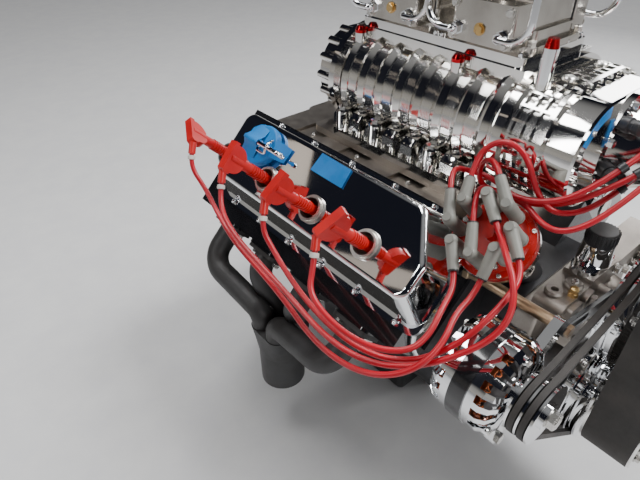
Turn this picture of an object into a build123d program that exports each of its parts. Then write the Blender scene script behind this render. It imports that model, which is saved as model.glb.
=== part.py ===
from build123d import *
import os
from math import cos, pi, radians, sin, tan

os.makedirs("parts", exist_ok=True)

# The frame: the crankshaft's axis runs along Y and meets the block's rear face at the origin.
# The engine's front is towards -Y and its right bank is at -X. A distance f is measured forward
# from the rear face, so y = -f. On a bank, d is measured up the bores from the crank axis and
# a across them, to the exhaust side. Sizes are in millimetres.

# Cylinder block
bank_tilt = 45
bore_pitch = 121.9
cylinders = 4
rear_bore = 100
bank_stagger = 22
deck_height = 272
deck_half = 92
bank_depth = 110
bank_front = 560
block_length = 620
rail_half = 150
rail_drop = 76
valley_height = 190
chest_half = 105
chest_shoulder = 40
bell_radius = 205
bell_height = 35
bell_depth = 14
bell_bolt_half = 165
bell_bolt_top = 120
bell_bolt_low = 45
bell_bolt_hole = 11.2
bell_bolt_depth = 28
core_plug = 42
mount_pad_f = 383
mount_pad_z = -20
mount_pad_depth = 12
mount_pad = (118, 96)
mount_hole_across = 90
mount_hole_up = 60
mount_hole = 11.2

# Oil pan
pan_flange = 10
pan_shallow = 50
pan_deep = 165
sump_rear = 130
sump_length = 300
pan_inset = 22

# Heads and valve covers
head_rear = 10
head_front = 555
head_bottom_half = 98
head_half = 109
head_height = 90
head_shoulder = 28
cover_rail = 8
cover_height = 72
cover_rear = 82
cover_top_in = 90
cover_top_out = 38
cover_base_in = 99
cover_base_out = 68
cover_front = 563
cover_draft = 12
filler_f = 178
filler_a = -46
filler = 74
filler_height = 17
handle = 62
tube_outer = 41.6
tube_inner = 35
tube_lip = 47
lip_height = 4
tube_clearance = 0.2

# Plug boots and leads
boot_width = 17
boot_height = 96
boot_bar = 52
bar_thick = 15
boot_gusset = 30
boot_rings = 7
ring_pitch = 5.5
outlet_from = 24
boot_outlet = 20
lead = 8.0

# Crankshaft, damper and pulleys
shaft = 64
shaft_clearance = 0.4
flange_width = 118
flange_depth = 12
flange_gap = 5
flywheel_pcd = 92
flywheel_hole = 11.4
flywheel_bolts = 8
timing_depth = 35
damper = 176
damper_depth = 44
damper_gap = 6
belt_ahead = 40
belt_width = 12
belt_height = 9
belt_pitch = 15
crank_groove = 160
pump_groove = 172
alternator_groove = 72
pump_height = 195
cog_pitch = 8
crank_cogs = 58
blower_cogs = 48
cog_belt_ahead = 25
cog_belt_width = 76
cog_belt_thick = 6
cog_depth = 2.6
belt_clearance = 0.3

# Water pump
pump_housing_depth = 45
pump_nose = 26
pump_body = 124
square_boss = (-128, 236)
pump_port = (-88, 240)

# Blower
blower_base = 340
case_floor = 8
rotor_half = 50.8
case_radius = 84
rib_radius = 91
rib_count = 8
rib_width = 19
rib_draft = 28
lug_width = 24
lug_root = 96
lug_half = 146
front_lug_half = 136
lug_low = 26
lug_high = 52
round_lugs = (0, 2, 5)
stud = 12
case_rear = 204
case_front = 529
plate_depth = 13
rear_cover_depth = 44
gear_cover_depth = 55
drum_depth = 44
cover_radius = 79
cover_rib = 5
cover_rib_width = 3.5
drum_radius = 76
base_height = 14
base_half = 144
snout_radius = 62
snout_nose = 34

# Manifold and carburettors
manifold_rear = 150
manifold_front = 535
manifold_flange = 12
manifold_half = 144
plenum_half = 92
plenum_rear = 60
runner_width = 62
runner_height = 46
web_drop = 7
web_thick = 16
plenum_floor = 275
case_top_half = 88
top_plate = 14
carb_pitch = 165
carb_centre = 372
carb_height = 68
air_horn = 130
horn_height = 20
barrel = 42
barrel_pitch = 46
barrel_depth = 60
bowl_depth = 46
bowl_length = 100
bowl_height = 56

# Fuel lines, red domes and the vent
fuel_pipe = 9.5
fuel_log = 22
log_rise = 117
feed_gap = 14
dome_f = (224, 427)
dome_x = -98
dome_rise = 84
dome = 19
vent_x = -80
vent_ahead = 11
vent_rise = 82
vent_height = 46
vent = 20

# Distributor
dist_f = 586
dist_a = -104.6
dist_seat = 205
cap_width = 115
cap_rim = 1.5
cap_seat = 335
terminal_circle = 84
dist_neck = 19
dist_bowl = 282
dist_bowl_radius = 36
tower = 15
tower_top = 378
elbow_d = 418
sleeve_width = 19
# for each lead: its tower's angle from rearward to the exhaust side, its boot's turn and reach
terminals = {"right_1": (63, -38, 42), "right_2": (198, -45, 42), "right_3": (288, -48, 42),
             "right_4": (153, -9, 42), "left_1": (18, 148, 42), "left_2": (333, 163, 32),
             "left_3": (243, 134, 42), "left_4": (108, 151, 42)}

# Alternator
alternator_x = -268
alternator_z = 188
alternator_behind = 23
alternator_width = 146
alternator_band = 24
alternator_half = 38
stay_x = -182
stay_z = 252
stay_width = 17
pivot_x = -278
pivot_z = 98
ear_radius = 12
ear_hole = 10.6
ear_depth = 14
case_wall = 5
case_windows = 21
window_group = 7
shaft_hole = 9
arm_boss = (-40, 225)
arm_thick = 6
bolt_across = 19
bolt_head = 6

# Toothed belt's idler
idler_z = 300
idler = 38
idler_gap = 0.5
spindle = 10

# Exhaust and oil filter
header_tube = 44
collector = 89
collector_x = -342
collector_f = 283
collector_top = 26
collector_length = 80
collector_taper = 60
cluster = 23
port_flange = 78
port_face = 56
port_raise = 6
port_up = 58
filter_f = 524
filter_z = -38
oil_can = 94
filter_length = 105

# Middle points of each lead's route, from its plug boot to its boot on the cap
lead_straight = 22
lead_routes = {
    "right_1": [(-430, -488, 304), (-432, -522, 288), (-424, -562, 275), (-406, -599, 270),
                (-381, -624, 273), (-353, -628, 286), (-322, -618, 301)],
    "right_2": [(-411, -381, 303), (-415, -416, 285), (-418, -458, 269), (-418, -505, 256),
                (-413, -551, 248), (-400, -593, 247), (-381, -626, 256), (-360, -649, 274),
                (-338, -665, 296), (-315, -674, 317), (-285, -677, 335)],
    "right_3": [(-424, -271, 305), (-429, -320, 289), (-428, -381, 275), (-428, -446, 261),
                (-430, -508, 248), (-423, -563, 243), (-406, -609, 249), (-380, -645, 264),
                (-350, -673, 286), (-322, -692, 309), (-297, -695, 334), (-275, -677, 358),
                (-254, -648, 372)],
    "right_4": [(-397, -166, 300), (-405, -217, 273), (-415, -282, 255), (-418, -355, 246),
                (-425, -428, 239), (-436, -495, 232), (-437, -552, 233), (-428, -599, 242),
                (-410, -632, 258), (-385, -649, 276), (-354, -650, 293), (-321, -637, 306)],
    "left_1": [(330, -575, 356), (281, -605, 379), (222, -635, 411), (160, -662, 443),
               (99, -684, 469), (41, -698, 484), (-13, -703, 482), (-61, -695, 460),
               (-101, -676, 429), (-129, -652, 401), (-144, -622, 387), (-150, -585, 382),
               (-144, -557, 389), (-137, -531, 387), (-149, -509, 390), (-170, -503, 399)],
    "left_2": [(337, -460, 352), (308, -508, 355), (275, -561, 366), (238, -610, 387),
               (195, -651, 413), (147, -681, 443), (96, -701, 469), (44, -713, 486),
               (-5, -715, 484), (-53, -706, 453), (-84, -690, 412), (-109, -666, 378),
               (-129, -636, 370), (-134, -613, 390), (-139, -601, 415), (-143, -593, 434),
               (-144, -580, 447), (-145, -563, 452), (-149, -547, 449), (-158, -534, 437)],
    "left_3": [(341, -337, 360), (326, -388, 366), (316, -447, 368), (304, -509, 370),
               (282, -567, 374), (247, -618, 383), (203, -659, 403), (153, -690, 430),
               (99, -711, 457), (46, -724, 476), (-3, -728, 481), (-52, -719, 463),
               (-95, -692, 427), (-120, -647, 386), (-119, -601, 363), (-123, -568, 362),
               (-134, -543, 366), (-150, -531, 381), (-151, -528, 405), (-155, -540, 423)],
    "left_4": [(340, -215, 359), (324, -265, 364), (312, -329, 367), (303, -398, 371),
               (293, -468, 378), (280, -534, 388), (261, -592, 402), (232, -640, 418),
               (194, -678, 436), (150, -707, 454), (101, -726, 471), (51, -737, 482),
               (1, -740, 481), (-43, -734, 465), (-80, -717, 436), (-112, -702, 404),
               (-138, -685, 379), (-154, -663, 365), (-156, -637, 366), (-143, -605, 375),
               (-137, -577, 371), (-148, -552, 378), (-175, -546, 389)],
}

# Places that follow from the sizes
face_f = block_length + timing_depth
hub_rear = face_f + belt_clearance
damper_front = face_f + damper_gap + damper_depth
belt_f = damper_front + belt_ahead
cog_belt_rear = belt_f + cog_belt_ahead
blower_height = blower_base + case_radius + case_floor
deck = blower_height + rib_radius + 1
alternator_front = belt_f - alternator_behind
alternator_rear = alternator_front - 2 * alternator_half - alternator_band
gear_rear = case_front + plate_depth
drum_rear = gear_rear + gear_cover_depth
snout_rear = drum_rear + drum_depth
snout_front = cog_belt_rear - 4


def front(f):
    """The plane across the engine at f forward of the rear face, facing forward."""
    return Plane.XZ.offset(f)


def level(z):
    """The horizontal plane at height z."""
    return Plane.XY.offset(z)


def on_bank(d, a=0):
    """x and z of a place on the right bank."""
    t = radians(bank_tilt)
    return (-d * sin(t) - a * cos(t), d * cos(t) - a * sin(t))


def bank(d):
    """The plane across the right bank at d. Its own x runs rearward and its y to the exhaust."""
    t = radians(bank_tilt)
    x, z = on_bank(d)
    return Plane(origin=(x, 0, z), x_dir=(0, 1, 0), z_dir=(-sin(t), 0, cos(t)))


def flank(a, d, left=False):
    """The plane facing a bank's exhaust side. Its own x runs rearward, its y down the bores."""
    t = radians(bank_tilt)
    x, z = on_bank(d, a)
    sx = -1 if left else 1
    return Plane(origin=(sx * x, 0, z), x_dir=(0, 1, 0), z_dir=(-sx * cos(t), 0, -sin(t)))


def bank_up(left=False):
    """The way up a bank's bores."""
    t = radians(bank_tilt)
    return Vector(sin(t) if left else -sin(t), 0, cos(t))


def bank_dir(turn, left=False):
    """A way square to a bank's bores, turned from its exhaust side towards the rear."""
    t, w = radians(bank_tilt), radians(turn)
    return Vector(cos(t) * cos(w) * (1 if left else -1), sin(w), -sin(t) * cos(w))


def bores(left=False):
    """The forward distances of a bank's bores, from the front one to the rear one."""
    forward = bank_stagger if left else 0
    return [rear_bore + bore_pitch * i + forward for i in reversed(range(cylinders))]


def mirrored(half):
    """A closed outline from its left half, whose first and last points are on the centreline."""
    return list(half) + [(-x, z) for x, z in reversed(half) if x != 0]


def finish(piece, name):
    """Label a piece and write it to its own file."""
    piece.part.label = name
    export_step(piece.part, f"parts/{name}.step")


def left_twin(right):
    """The left bank's like piece: mirrored, and forward by the banks' stagger."""
    with BuildPart() as twin:
        with Locations((0, -bank_stagger, 0)):
            add(mirror(right.part, about=Plane.YZ, mode=Mode.PRIVATE))
    return twin


def both_banks(right):
    """A right bank's pieces and the left bank's like ones, in one piece."""
    with BuildPart() as pair:
        add(right.part)
        add(left_twin(right).part)
    return pair


# Cylinder block
t = radians(bank_tilt)
skirt = on_bank(deck_height - bank_depth, deck_half)
deck_out = on_bank(deck_height, deck_half)
deck_in = on_bank(deck_height, -deck_half)
valley_foot = on_bank((valley_height - deck_half * sin(t)) / cos(t), -deck_half)
bank_half = [(0, -rail_drop), (-rail_half, -rail_drop), (-rail_half, 0), skirt,
             deck_out, deck_in, valley_foot, (0, valley_height)]
chest = [(0, -rail_drop), (-rail_half, -rail_drop), (-rail_half, chest_shoulder),
         (-chest_half, valley_height), (0, valley_height)]
bell_bolts = [(sx * bell_bolt_half, z) for sx in (-1, 1) for z in (bell_bolt_top, -bell_bolt_low)]
tunnel = shaft + 2 * shaft_clearance

with BuildPart() as block:
    with BuildSketch(front(0)):
        Polygon(*mirrored(bank_half), align=None)
    extrude(amount=bank_front)
    with BuildSketch(front(bank_front)):
        Polygon(*mirrored(chest), align=None)
    extrude(amount=block_length - bank_front)
    # the left bank reaches further forward
    with BuildSketch(front(bank_front)):
        Polygon(*[(-x, z) for x, z in (skirt, deck_out, deck_in, valley_foot)], align=None)
    extrude(amount=bank_stagger)
    # bellhousing flange
    with BuildSketch(front(0)):
        with Locations((0, bell_height)):
            Circle(bell_radius)
        with Locations((0, -rail_drop)):
            Rectangle(2 * bell_radius, 2 * bell_radius, align=(Align.CENTER, Align.MIN),
                      mode=Mode.INTERSECT)
    extrude(amount=bell_depth)
    with BuildSketch(front(0)):
        with Locations(*bell_bolts):
            Circle(bell_bolt_hole / 2)
    extrude(amount=bell_bolt_depth, mode=Mode.SUBTRACT)
    # core plugs, sunk in the banks' outer walls
    for left in (False, True):
        with BuildSketch(flank(deck_half, deck_height - 70, left)):
            with Locations(*[(-f, 0) for f in bores(left)[:-1]]):
                Circle(core_plug / 2)
        extrude(amount=-3, mode=Mode.SUBTRACT)
    # pads for the engine mounts
    for sx in (-1, 1):
        pad_f = mount_pad_f + (bank_stagger if sx > 0 else 0)
        pad = Plane(origin=(sx * rail_half, -pad_f, mount_pad_z), x_dir=(0, -sx, 0),
                    z_dir=(sx, 0, 0))
        with BuildSketch(pad):
            RectangleRounded(*mount_pad, 12)
        extrude(amount=mount_pad_depth)
        with BuildSketch(pad.offset(mount_pad_depth)):
            with GridLocations(mount_hole_across, mount_hole_up, 2, 2):
                Circle(mount_hole / 2)
        extrude(amount=-22, mode=Mode.SUBTRACT)
    # distributor boss
    with BuildSketch(bank(dist_seat)):
        with Locations((-dist_f, dist_a)):
            Circle(25)
    extrude(amount=-60)
    # crankshaft tunnel and the rear flange's recess
    with BuildSketch(front(0)):
        Circle(tunnel / 2)
    extrude(amount=block_length, mode=Mode.SUBTRACT)
    with BuildSketch(front(0)):
        Circle(flange_width / 2 + flange_gap)
    extrude(amount=flange_depth + flange_gap, mode=Mode.SUBTRACT)
finish(block, "block")

# Oil pan
pan_length = block_length + timing_depth
pan_half = rail_half - pan_inset
with BuildPart() as oil_pan:
    with BuildSketch(level(-rail_drop)):
        with Locations((0, -pan_length / 2)):
            Rectangle(2 * rail_half, pan_length)
    extrude(amount=-pan_flange)
    with BuildSketch(level(-rail_drop - pan_flange)):
        with Locations((0, -pan_length / 2)):
            RectangleRounded(2 * pan_half, pan_length - 2 * pan_inset, 30)
    extrude(amount=-pan_shallow, taper=8)
    with BuildSketch(level(-rail_drop - pan_flange)):
        with Locations((0, -sump_rear - sump_length / 2)):
            RectangleRounded(2 * pan_half - 6, sump_length, 30)
    extrude(amount=-pan_deep, taper=6)
    fillet(oil_pan.faces().sort_by(Axis.Z)[0].edges(), radius=16)
finish(oil_pan, "oil_pan")

# Heads
head_top = deck_height + head_height
head_outline = [(deck_height, -head_bottom_half), (deck_height, head_bottom_half),
                (deck_height + head_shoulder, head_half), (head_top, head_half),
                (head_top, -head_half), (deck_height + head_shoulder, -head_half)]
port_d = deck_height + port_up
with BuildPart() as head_right:
    with BuildSketch(front(head_rear)):
        Polygon(*[on_bank(d, a) for d, a in head_outline], align=None)
    extrude(amount=head_front - head_rear)
    # the front corner beside the distributor is cut away
    with BuildSketch(bank(deck_height)):
        Polygon((-head_front + 55, -head_half - 2), (-head_front - 2, -38),
                (-head_front - 2, -head_half - 2), align=None)
    extrude(amount=head_height, mode=Mode.SUBTRACT)
    # exhaust port faces
    with BuildSketch(flank(head_half, port_d)):
        with Locations(*[(-f, 0) for f in bores()]):
            RectangleRounded(port_flange, port_face, 14)
    extrude(amount=port_raise)
    # boss for the alternator's stay
    with BuildSketch(front(head_front - 35)):
        with Locations((stay_x, stay_z)):
            Circle(stay_width / 2 + 4.5)
    extrude(amount=40)
finish(head_right, "head_right")
head_left = left_twin(head_right)
finish(head_left, "head_left")

# Valve covers
cover_top = head_top + cover_height
cover_base_f = (cover_rear - cover_draft, cover_front + cover_draft)
cover_top_f = (cover_rear, cover_front)


def cover_outline(rear, ahead, inner, outer, corner=48):
    """A cover's outline: its front corner on the intake side is cut off for the distributor."""
    return [(-rear, -inner), (-rear, outer), (-ahead, outer), (-ahead, -inner / 5),
            (-ahead + corner, -inner)]


with BuildPart() as valve_cover_right:
    with BuildSketch(bank(head_top + cover_rail)):
        Polygon(*cover_outline(*cover_base_f, cover_base_in, cover_base_out), align=None)
        fillet(vertices(), radius=20)
    with BuildSketch(bank(cover_top)):
        Polygon(*cover_outline(*cover_top_f, cover_top_in, cover_top_out), align=None)
        fillet(vertices(), radius=20)
    loft()
    top_face = valve_cover_right.faces().sort_by(Axis((0, 0, 0), bank_up()))[-1]
    fillet(top_face.edges(), radius=9)
    with BuildSketch(bank(head_top)):
        Polygon(*cover_outline(cover_base_f[0] - 8, cover_base_f[1] + 4, cover_base_in + 6,
                               cover_base_out + 9, 60), align=None)
        fillet(vertices(), radius=18)
    extrude(amount=cover_rail)
    with BuildSketch(bank(head_top)):
        with Locations(*[(-f, 0) for f in bores()]):
            Circle(tube_outer / 2 + tube_clearance)
    extrude(amount=cover_rail + cover_height, mode=Mode.SUBTRACT)
finish(valve_cover_right, "valve_cover_right")
valve_cover_left = left_twin(valve_cover_right)
finish(valve_cover_left, "valve_cover_left")

# Oil filler's round cap on the right cover, with a T handle over it
filler_x, filler_z = on_bank(cover_top + belt_clearance, filler_a)
filler_foot = Plane(origin=(filler_x, -filler_f, filler_z), x_dir=(0, 1, 0), z_dir=bank_up())
with BuildPart() as filler_cap:
    with BuildSketch(filler_foot):
        Circle(filler / 2 - 6)
    extrude(amount=5)
    with BuildSketch(filler_foot.offset(5)):
        Circle(filler / 2)
    extrude(amount=filler_height - 5)
    fillet(filler_cap.faces().sort_by(Axis((0, 0, 0), bank_up()))[-1].edges(), radius=4)
    with BuildSketch(filler_foot.offset(filler_height)):
        Circle(8)
    extrude(amount=9)
    with BuildSketch(Plane(origin=filler_foot.origin + bank_up() * (filler_height + 9)
                           + Vector(0, -handle / 2, 0), z_dir=(0, 1, 0))):
        Circle(3.5)
    extrude(amount=handle)
finish(filler_cap, "filler_cap")

# Plug tubes, flared over the covers
with BuildPart() as plug_tubes_right:
    spots = [(-f, 0) for f in bores()]
    with BuildSketch(bank(head_top)):
        with Locations(*spots):
            Circle(tube_outer / 2)
            Circle(tube_inner / 2, mode=Mode.SUBTRACT)
    extrude(amount=cover_rail + cover_height)
    with BuildSketch(bank(cover_top)):
        with Locations(*spots):
            Circle(tube_lip / 2)
            Circle(tube_inner / 2, mode=Mode.SUBTRACT)
    extrude(amount=lip_height)
plug_tubes = both_banks(plug_tubes_right)
finish(plug_tubes, "plug_tubes")

# Plug boots. Each turn is the bar's, from straight across towards the rear, front bore first
right_turns = (21, 5, -10, -56)
left_turns = cylinders * (-110,)
bar_d = cover_top + boot_height


def outlet_dir(left=False):
    """The way that a plug boot's lead leaves it: outwards, forward and down."""
    return (Vector(-0.25, -0.80, -0.55) if left else Vector(-0.45, -0.35, -0.82)).normalized()


def bar_end(f, number, left=False):
    """The middle of a boot's bar near its end, where its outlet begins."""
    x, z = on_bank(bar_d)
    turn = (left_turns if left else right_turns)[number]
    return Vector(-x if left else x, -f, z) + bank_dir(turn, left) * outlet_from


def boot_end(f, number, left=False):
    """Where a lead leaves its plug boot."""
    return bar_end(f, number, left) + outlet_dir(left) * boot_outlet


def bank_boots(left):
    """A bank's four boots: a ringed stem down the tube, a bar across its top and an outlet."""
    with BuildPart() as boots:
        for number, f in enumerate(bores(left)):
            x, z = on_bank(head_top)
            turn = (left_turns if left else right_turns)[number]
            foot = Plane(origin=(-x if left else x, -f, z), x_dir=bank_dir(turn, left),
                         z_dir=bank_up(left))
            with BuildSketch(foot):
                Circle(boot_width / 2)
            extrude(amount=bar_d - head_top)
            for ring_number in range(boot_rings):
                with BuildSketch(foot.offset(cover_top - head_top + 10 + ring_pitch * ring_number)):
                    Circle(boot_width / 2 + 1.6)
                extrude(amount=2.6)
            # the bar narrows to its far end, and gussets run down to the stem
            top = Plane(origin=foot.origin + bank_up(left) * (bar_d - head_top),
                        x_dir=bank_dir(turn, left), z_dir=bank_dir(turn, left).cross(bank_up(left)))
            half, reach, stem = bar_thick / 2, boot_bar / 2, boot_width / 2
            with BuildSketch(top):
                with BuildLine():
                    Polyline((-reach, half - 3), (reach - 4, half), (reach, half - 4),
                             (reach, -half), (reach - 3, -half))
                    RadiusArc((reach - 3, -half), (stem, -boot_gusset), boot_gusset - half)
                    Line((stem, -boot_gusset), (-stem, -boot_gusset))
                    RadiusArc((-stem, -boot_gusset), (-reach + 4, -half + 3), boot_gusset - half)
                    Line((-reach + 4, -half + 3), (-reach, -half + 3))
                    Line((-reach, -half + 3), (-reach, half - 3))
                make_face()
            extrude(amount=half - 0.5, both=True)
            with BuildSketch(Plane(origin=bar_end(f, number, left), z_dir=outlet_dir(left))):
                Circle(lead / 2 + 2.2)
            extrude(amount=boot_outlet)
    return boots


with BuildPart() as plug_boots:
    for left in (False, True):
        add(bank_boots(left).part)
finish(plug_boots, "plug_boots")

# Crankshaft with its rear flange
with BuildPart() as crankshaft:
    with BuildSketch(front(0)):
        Circle(flange_width / 2)
        with PolarLocations(flywheel_pcd / 2, flywheel_bolts):
            Circle(flywheel_hole / 2, mode=Mode.SUBTRACT)
    extrude(amount=flange_depth)
    with BuildSketch(front(flange_depth)):
        Circle(shaft / 2)
    extrude(amount=hub_rear - flange_depth)
finish(crankshaft, "crankshaft")

# Timing cover
with BuildPart() as timing_cover:
    with BuildSketch(front(block_length)):
        Polygon((-chest_half - 4, valley_height - 5), (chest_half + 4, valley_height - 5),
                (rail_half - 8, chest_shoulder), (rail_half - 8, -rail_drop),
                (-rail_half + 8, -rail_drop), (-rail_half + 8, chest_shoulder), align=None)
        fillet(vertices().sort_by(Axis.Z)[2:], radius=20)
        Circle(tunnel / 2, mode=Mode.SUBTRACT)
    extrude(amount=timing_depth)
    fillet(timing_cover.edges().filter_by(GeomType.LINE).filter_by_position(
        Axis.Y, -block_length - timing_depth - 0.1, -block_length - timing_depth + 0.1)
        .sort_by(Axis.Z)[1:], radius=7)
finish(timing_cover, "timing_cover")

# Crank damper, fan belt pulley and toothed pulley turn with the shaft
nose_end = cog_belt_rear + cog_belt_width + 14


def belt_pulley(f_mid, groove, hub, f_from, f_to, rows=2):
    """A pulley's half section: hub from f_from to f_to and V grooves about f_mid."""
    outer = groove / 2 + belt_height
    rim = rows * belt_pitch / 2 + 2
    points = [(0, f_from), (hub, f_from), (hub, f_mid - rim), (outer, f_mid - rim)]
    for row in range(rows):
        mid = f_mid + (row - (rows - 1) / 2) * belt_pitch
        points += [(outer, mid - belt_width / 2), (groove / 2, mid - belt_width / 3),
                   (groove / 2, mid + belt_width / 3), (outer, mid + belt_width / 2)]
    points += [(outer, f_mid + rim), (hub, f_mid + rim), (hub, f_to), (0, f_to)]
    return points


def turned(points, x, z):
    """Sketch a half section of radius and forward distance on a shaft at x and z."""
    return Plane(origin=(x, 0, z), x_dir=(1, 0, 0), z_dir=(0, 0, 1)), [(r, -f) for r, f in points]


with BuildPart() as crank_damper:
    damper_rear = face_f + damper_gap
    plane, outline = turned([(0, hub_rear), (44, hub_rear), (44, damper_rear),
                             (damper / 2 - 3, damper_rear), (damper / 2, damper_rear + 3),
                             (damper / 2, damper_front - 3), (damper / 2 - 3, damper_front),
                             (74, damper_front), (70, damper_front - 4), (50, damper_front - 4),
                             (46, damper_front), (0, damper_front)], 0, 0)
    with BuildSketch(plane):
        Polygon(*outline, align=None)
    revolve(axis=Axis.Y)
finish(crank_damper, "crank_damper")

with BuildPart() as crank_pulley:
    plane, outline = turned(belt_pulley(belt_f, crank_groove, 50, damper_front, cog_belt_rear - 8),
                            0, 0)
    with BuildSketch(plane):
        Polygon(*outline, align=None)
    revolve(axis=Axis.Y)
finish(crank_pulley, "crank_pulley")


def cog_radius(cogs):
    """The outer radius of a toothed pulley."""
    return cogs * cog_pitch / (2 * pi)


def cog_pulley(cogs, x, z, f_from, hub, f_to):
    """A toothed pulley between two flanges, bolted to a hub."""
    r = cog_radius(cogs)
    with BuildPart() as pulley:
        with BuildSketch(front(cog_belt_rear)):
            with Locations((x, z)):
                Circle(r)
                with PolarLocations(r, cogs):
                    Rectangle(2 * cog_depth, cog_pitch * 0.42, mode=Mode.SUBTRACT)
        extrude(amount=cog_belt_width)
        for f in (cog_belt_rear - 4, cog_belt_rear + cog_belt_width):
            with BuildSketch(front(f)):
                with Locations((x, z)):
                    Circle(r + 5)
            extrude(amount=4)
        with BuildSketch(front(f_from)):
            with Locations((x, z)):
                Circle(hub)
        extrude(amount=f_to - f_from)
    return pulley


crank_cog_pulley = cog_pulley(crank_cogs, 0, 0, cog_belt_rear - 8, 42, nose_end)
finish(crank_cog_pulley, "crank_cog_pulley")

# Water pump housing with its nose, and the pulley on the pump's shaft
pump_front = face_f + pump_housing_depth
with BuildPart() as water_pump:
    with BuildSketch(front(face_f)):
        with Locations((0, pump_height)):
            Circle(pump_body / 2)
        with Locations((-38, pump_height + 36)):
            Rectangle(76, 62)
        with Locations((0, pump_height + 38)):
            RectangleRounded(310, 46, 14)
        with Locations((0, pump_height - 45)):
            Rectangle(150, 60)
    extrude(amount=pump_housing_depth)
    with BuildSketch(front(pump_front)):
        with Locations((0, pump_height)):
            Circle(34)
    extrude(amount=pump_nose, taper=8)
    # square boss with a threaded hole, and a round port closed by a plug
    with BuildSketch(front(pump_front)):
        with Locations(pump_port):
            Circle(15)
        with Locations(square_boss):
            RectangleRounded(34, 30, 5)
    extrude(amount=9)
    with BuildSketch(front(pump_front + 9)):
        with Locations(square_boss):
            Circle(6)
    extrude(amount=-16, mode=Mode.SUBTRACT)
    with BuildSketch(front(pump_front + 9)):
        with Locations(pump_port):
            RegularPolygon(9, 6)
    extrude(amount=7)
    # boss for the alternator's adjuster arm
    with BuildSketch(front(pump_front)):
        with Locations(arm_boss):
            Circle(12)
    extrude(amount=alternator_front - bolt_head - pump_front)
finish(water_pump, "water_pump")

with BuildPart() as pump_pulley:
    plane, outline = turned(belt_pulley(belt_f, pump_groove, 24, pump_front + pump_nose + 0.3,
                                        cog_belt_rear - 8), 0, pump_height)
    with BuildSketch(plane):
        Polygon(*outline, align=None)
    revolve(axis=Axis((0, 0, pump_height), (0, 1, 0)))
finish(pump_pulley, "pump_pulley")

# Water neck with its cap
neck_x = -38
neck_seat = pump_height + 67
neck_f = face_f + pump_housing_depth / 2
with BuildPart() as water_neck:
    with BuildSketch(level(neck_seat)):
        with Locations((neck_x, -neck_f)):
            SlotCenterToCenter(44, 40)
    extrude(amount=9)
    with BuildSketch(level(neck_seat + 9)):
        with Locations((neck_x, -neck_f)):
            Circle(25)
    extrude(amount=32, taper=6)
finish(water_neck, "water_neck")
with BuildPart() as neck_cap:
    with BuildSketch(level(neck_seat + 41)):
        with Locations((neck_x, -neck_f)):
            Circle(22)
    extrude(amount=22)
    fillet(neck_cap.faces().sort_by(Axis.Z)[-1].edges(), radius=3)
finish(neck_cap, "neck_cap")

# Manifold: valley base, plenum, blower flange and a runner to each port
flange_low = blower_base - manifold_flange
runner_top = (flange_low - head_half * sin(t)) / cos(t)
with BuildPart() as manifold:
    foot_a = -deck_half - belt_clearance
    foot_out = on_bank(deck_height - 8, foot_a)
    foot_in = on_bank((valley_height + foot_a * sin(t)) / cos(t), foot_a)
    with BuildSketch(front(30)):
        Polygon(*mirrored([(0, valley_height), foot_in, foot_out, (foot_out[0] + 13, 282),
                           (0, 282)]), align=None)
    extrude(amount=515)
    with BuildSketch(level(plenum_floor)):
        with Locations((0, -(plenum_rear + manifold_front) / 2)):
            RectangleRounded(2 * plenum_half, manifold_front - plenum_rear, 20)
    extrude(amount=flange_low - plenum_floor)
    for left in (False, True):
        sx = -1 if left else 1
        outline = [on_bank(runner_top - runner_height, -head_half), on_bank(runner_top, -head_half),
                   (-plenum_half + 5, flange_low),
                   (-plenum_half + 5, flange_low - runner_height - 6)]
        for f in bores(left):
            with BuildSketch(front(f - runner_width / 2)):
                Polygon(*[(sx * x, z) for x, z in outline], align=None)
            extrude(amount=runner_width)
        # a thinner web closes the gaps between the runners
        web = [on_bank(runner_top - web_drop - web_thick, -head_half),
               on_bank(runner_top - web_drop, -head_half),
               (-plenum_half + 5, flange_low - web_drop),
               (-plenum_half + 5, flange_low - web_drop - web_thick)]
        ends = (bores(left)[-1] - runner_width / 2, bores(left)[0] + runner_width / 2)
        with BuildSketch(front(ends[0])):
            Polygon(*[(sx * x, z) for x, z in web], align=None)
        extrude(amount=ends[1] - ends[0])
    with BuildSketch(level(flange_low)):
        with Locations((0, -(manifold_rear + manifold_front) / 2)):
            RectangleRounded(2 * manifold_half, manifold_front - manifold_rear, 12)
    extrude(amount=manifold_flange)
finish(manifold, "manifold")

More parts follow.
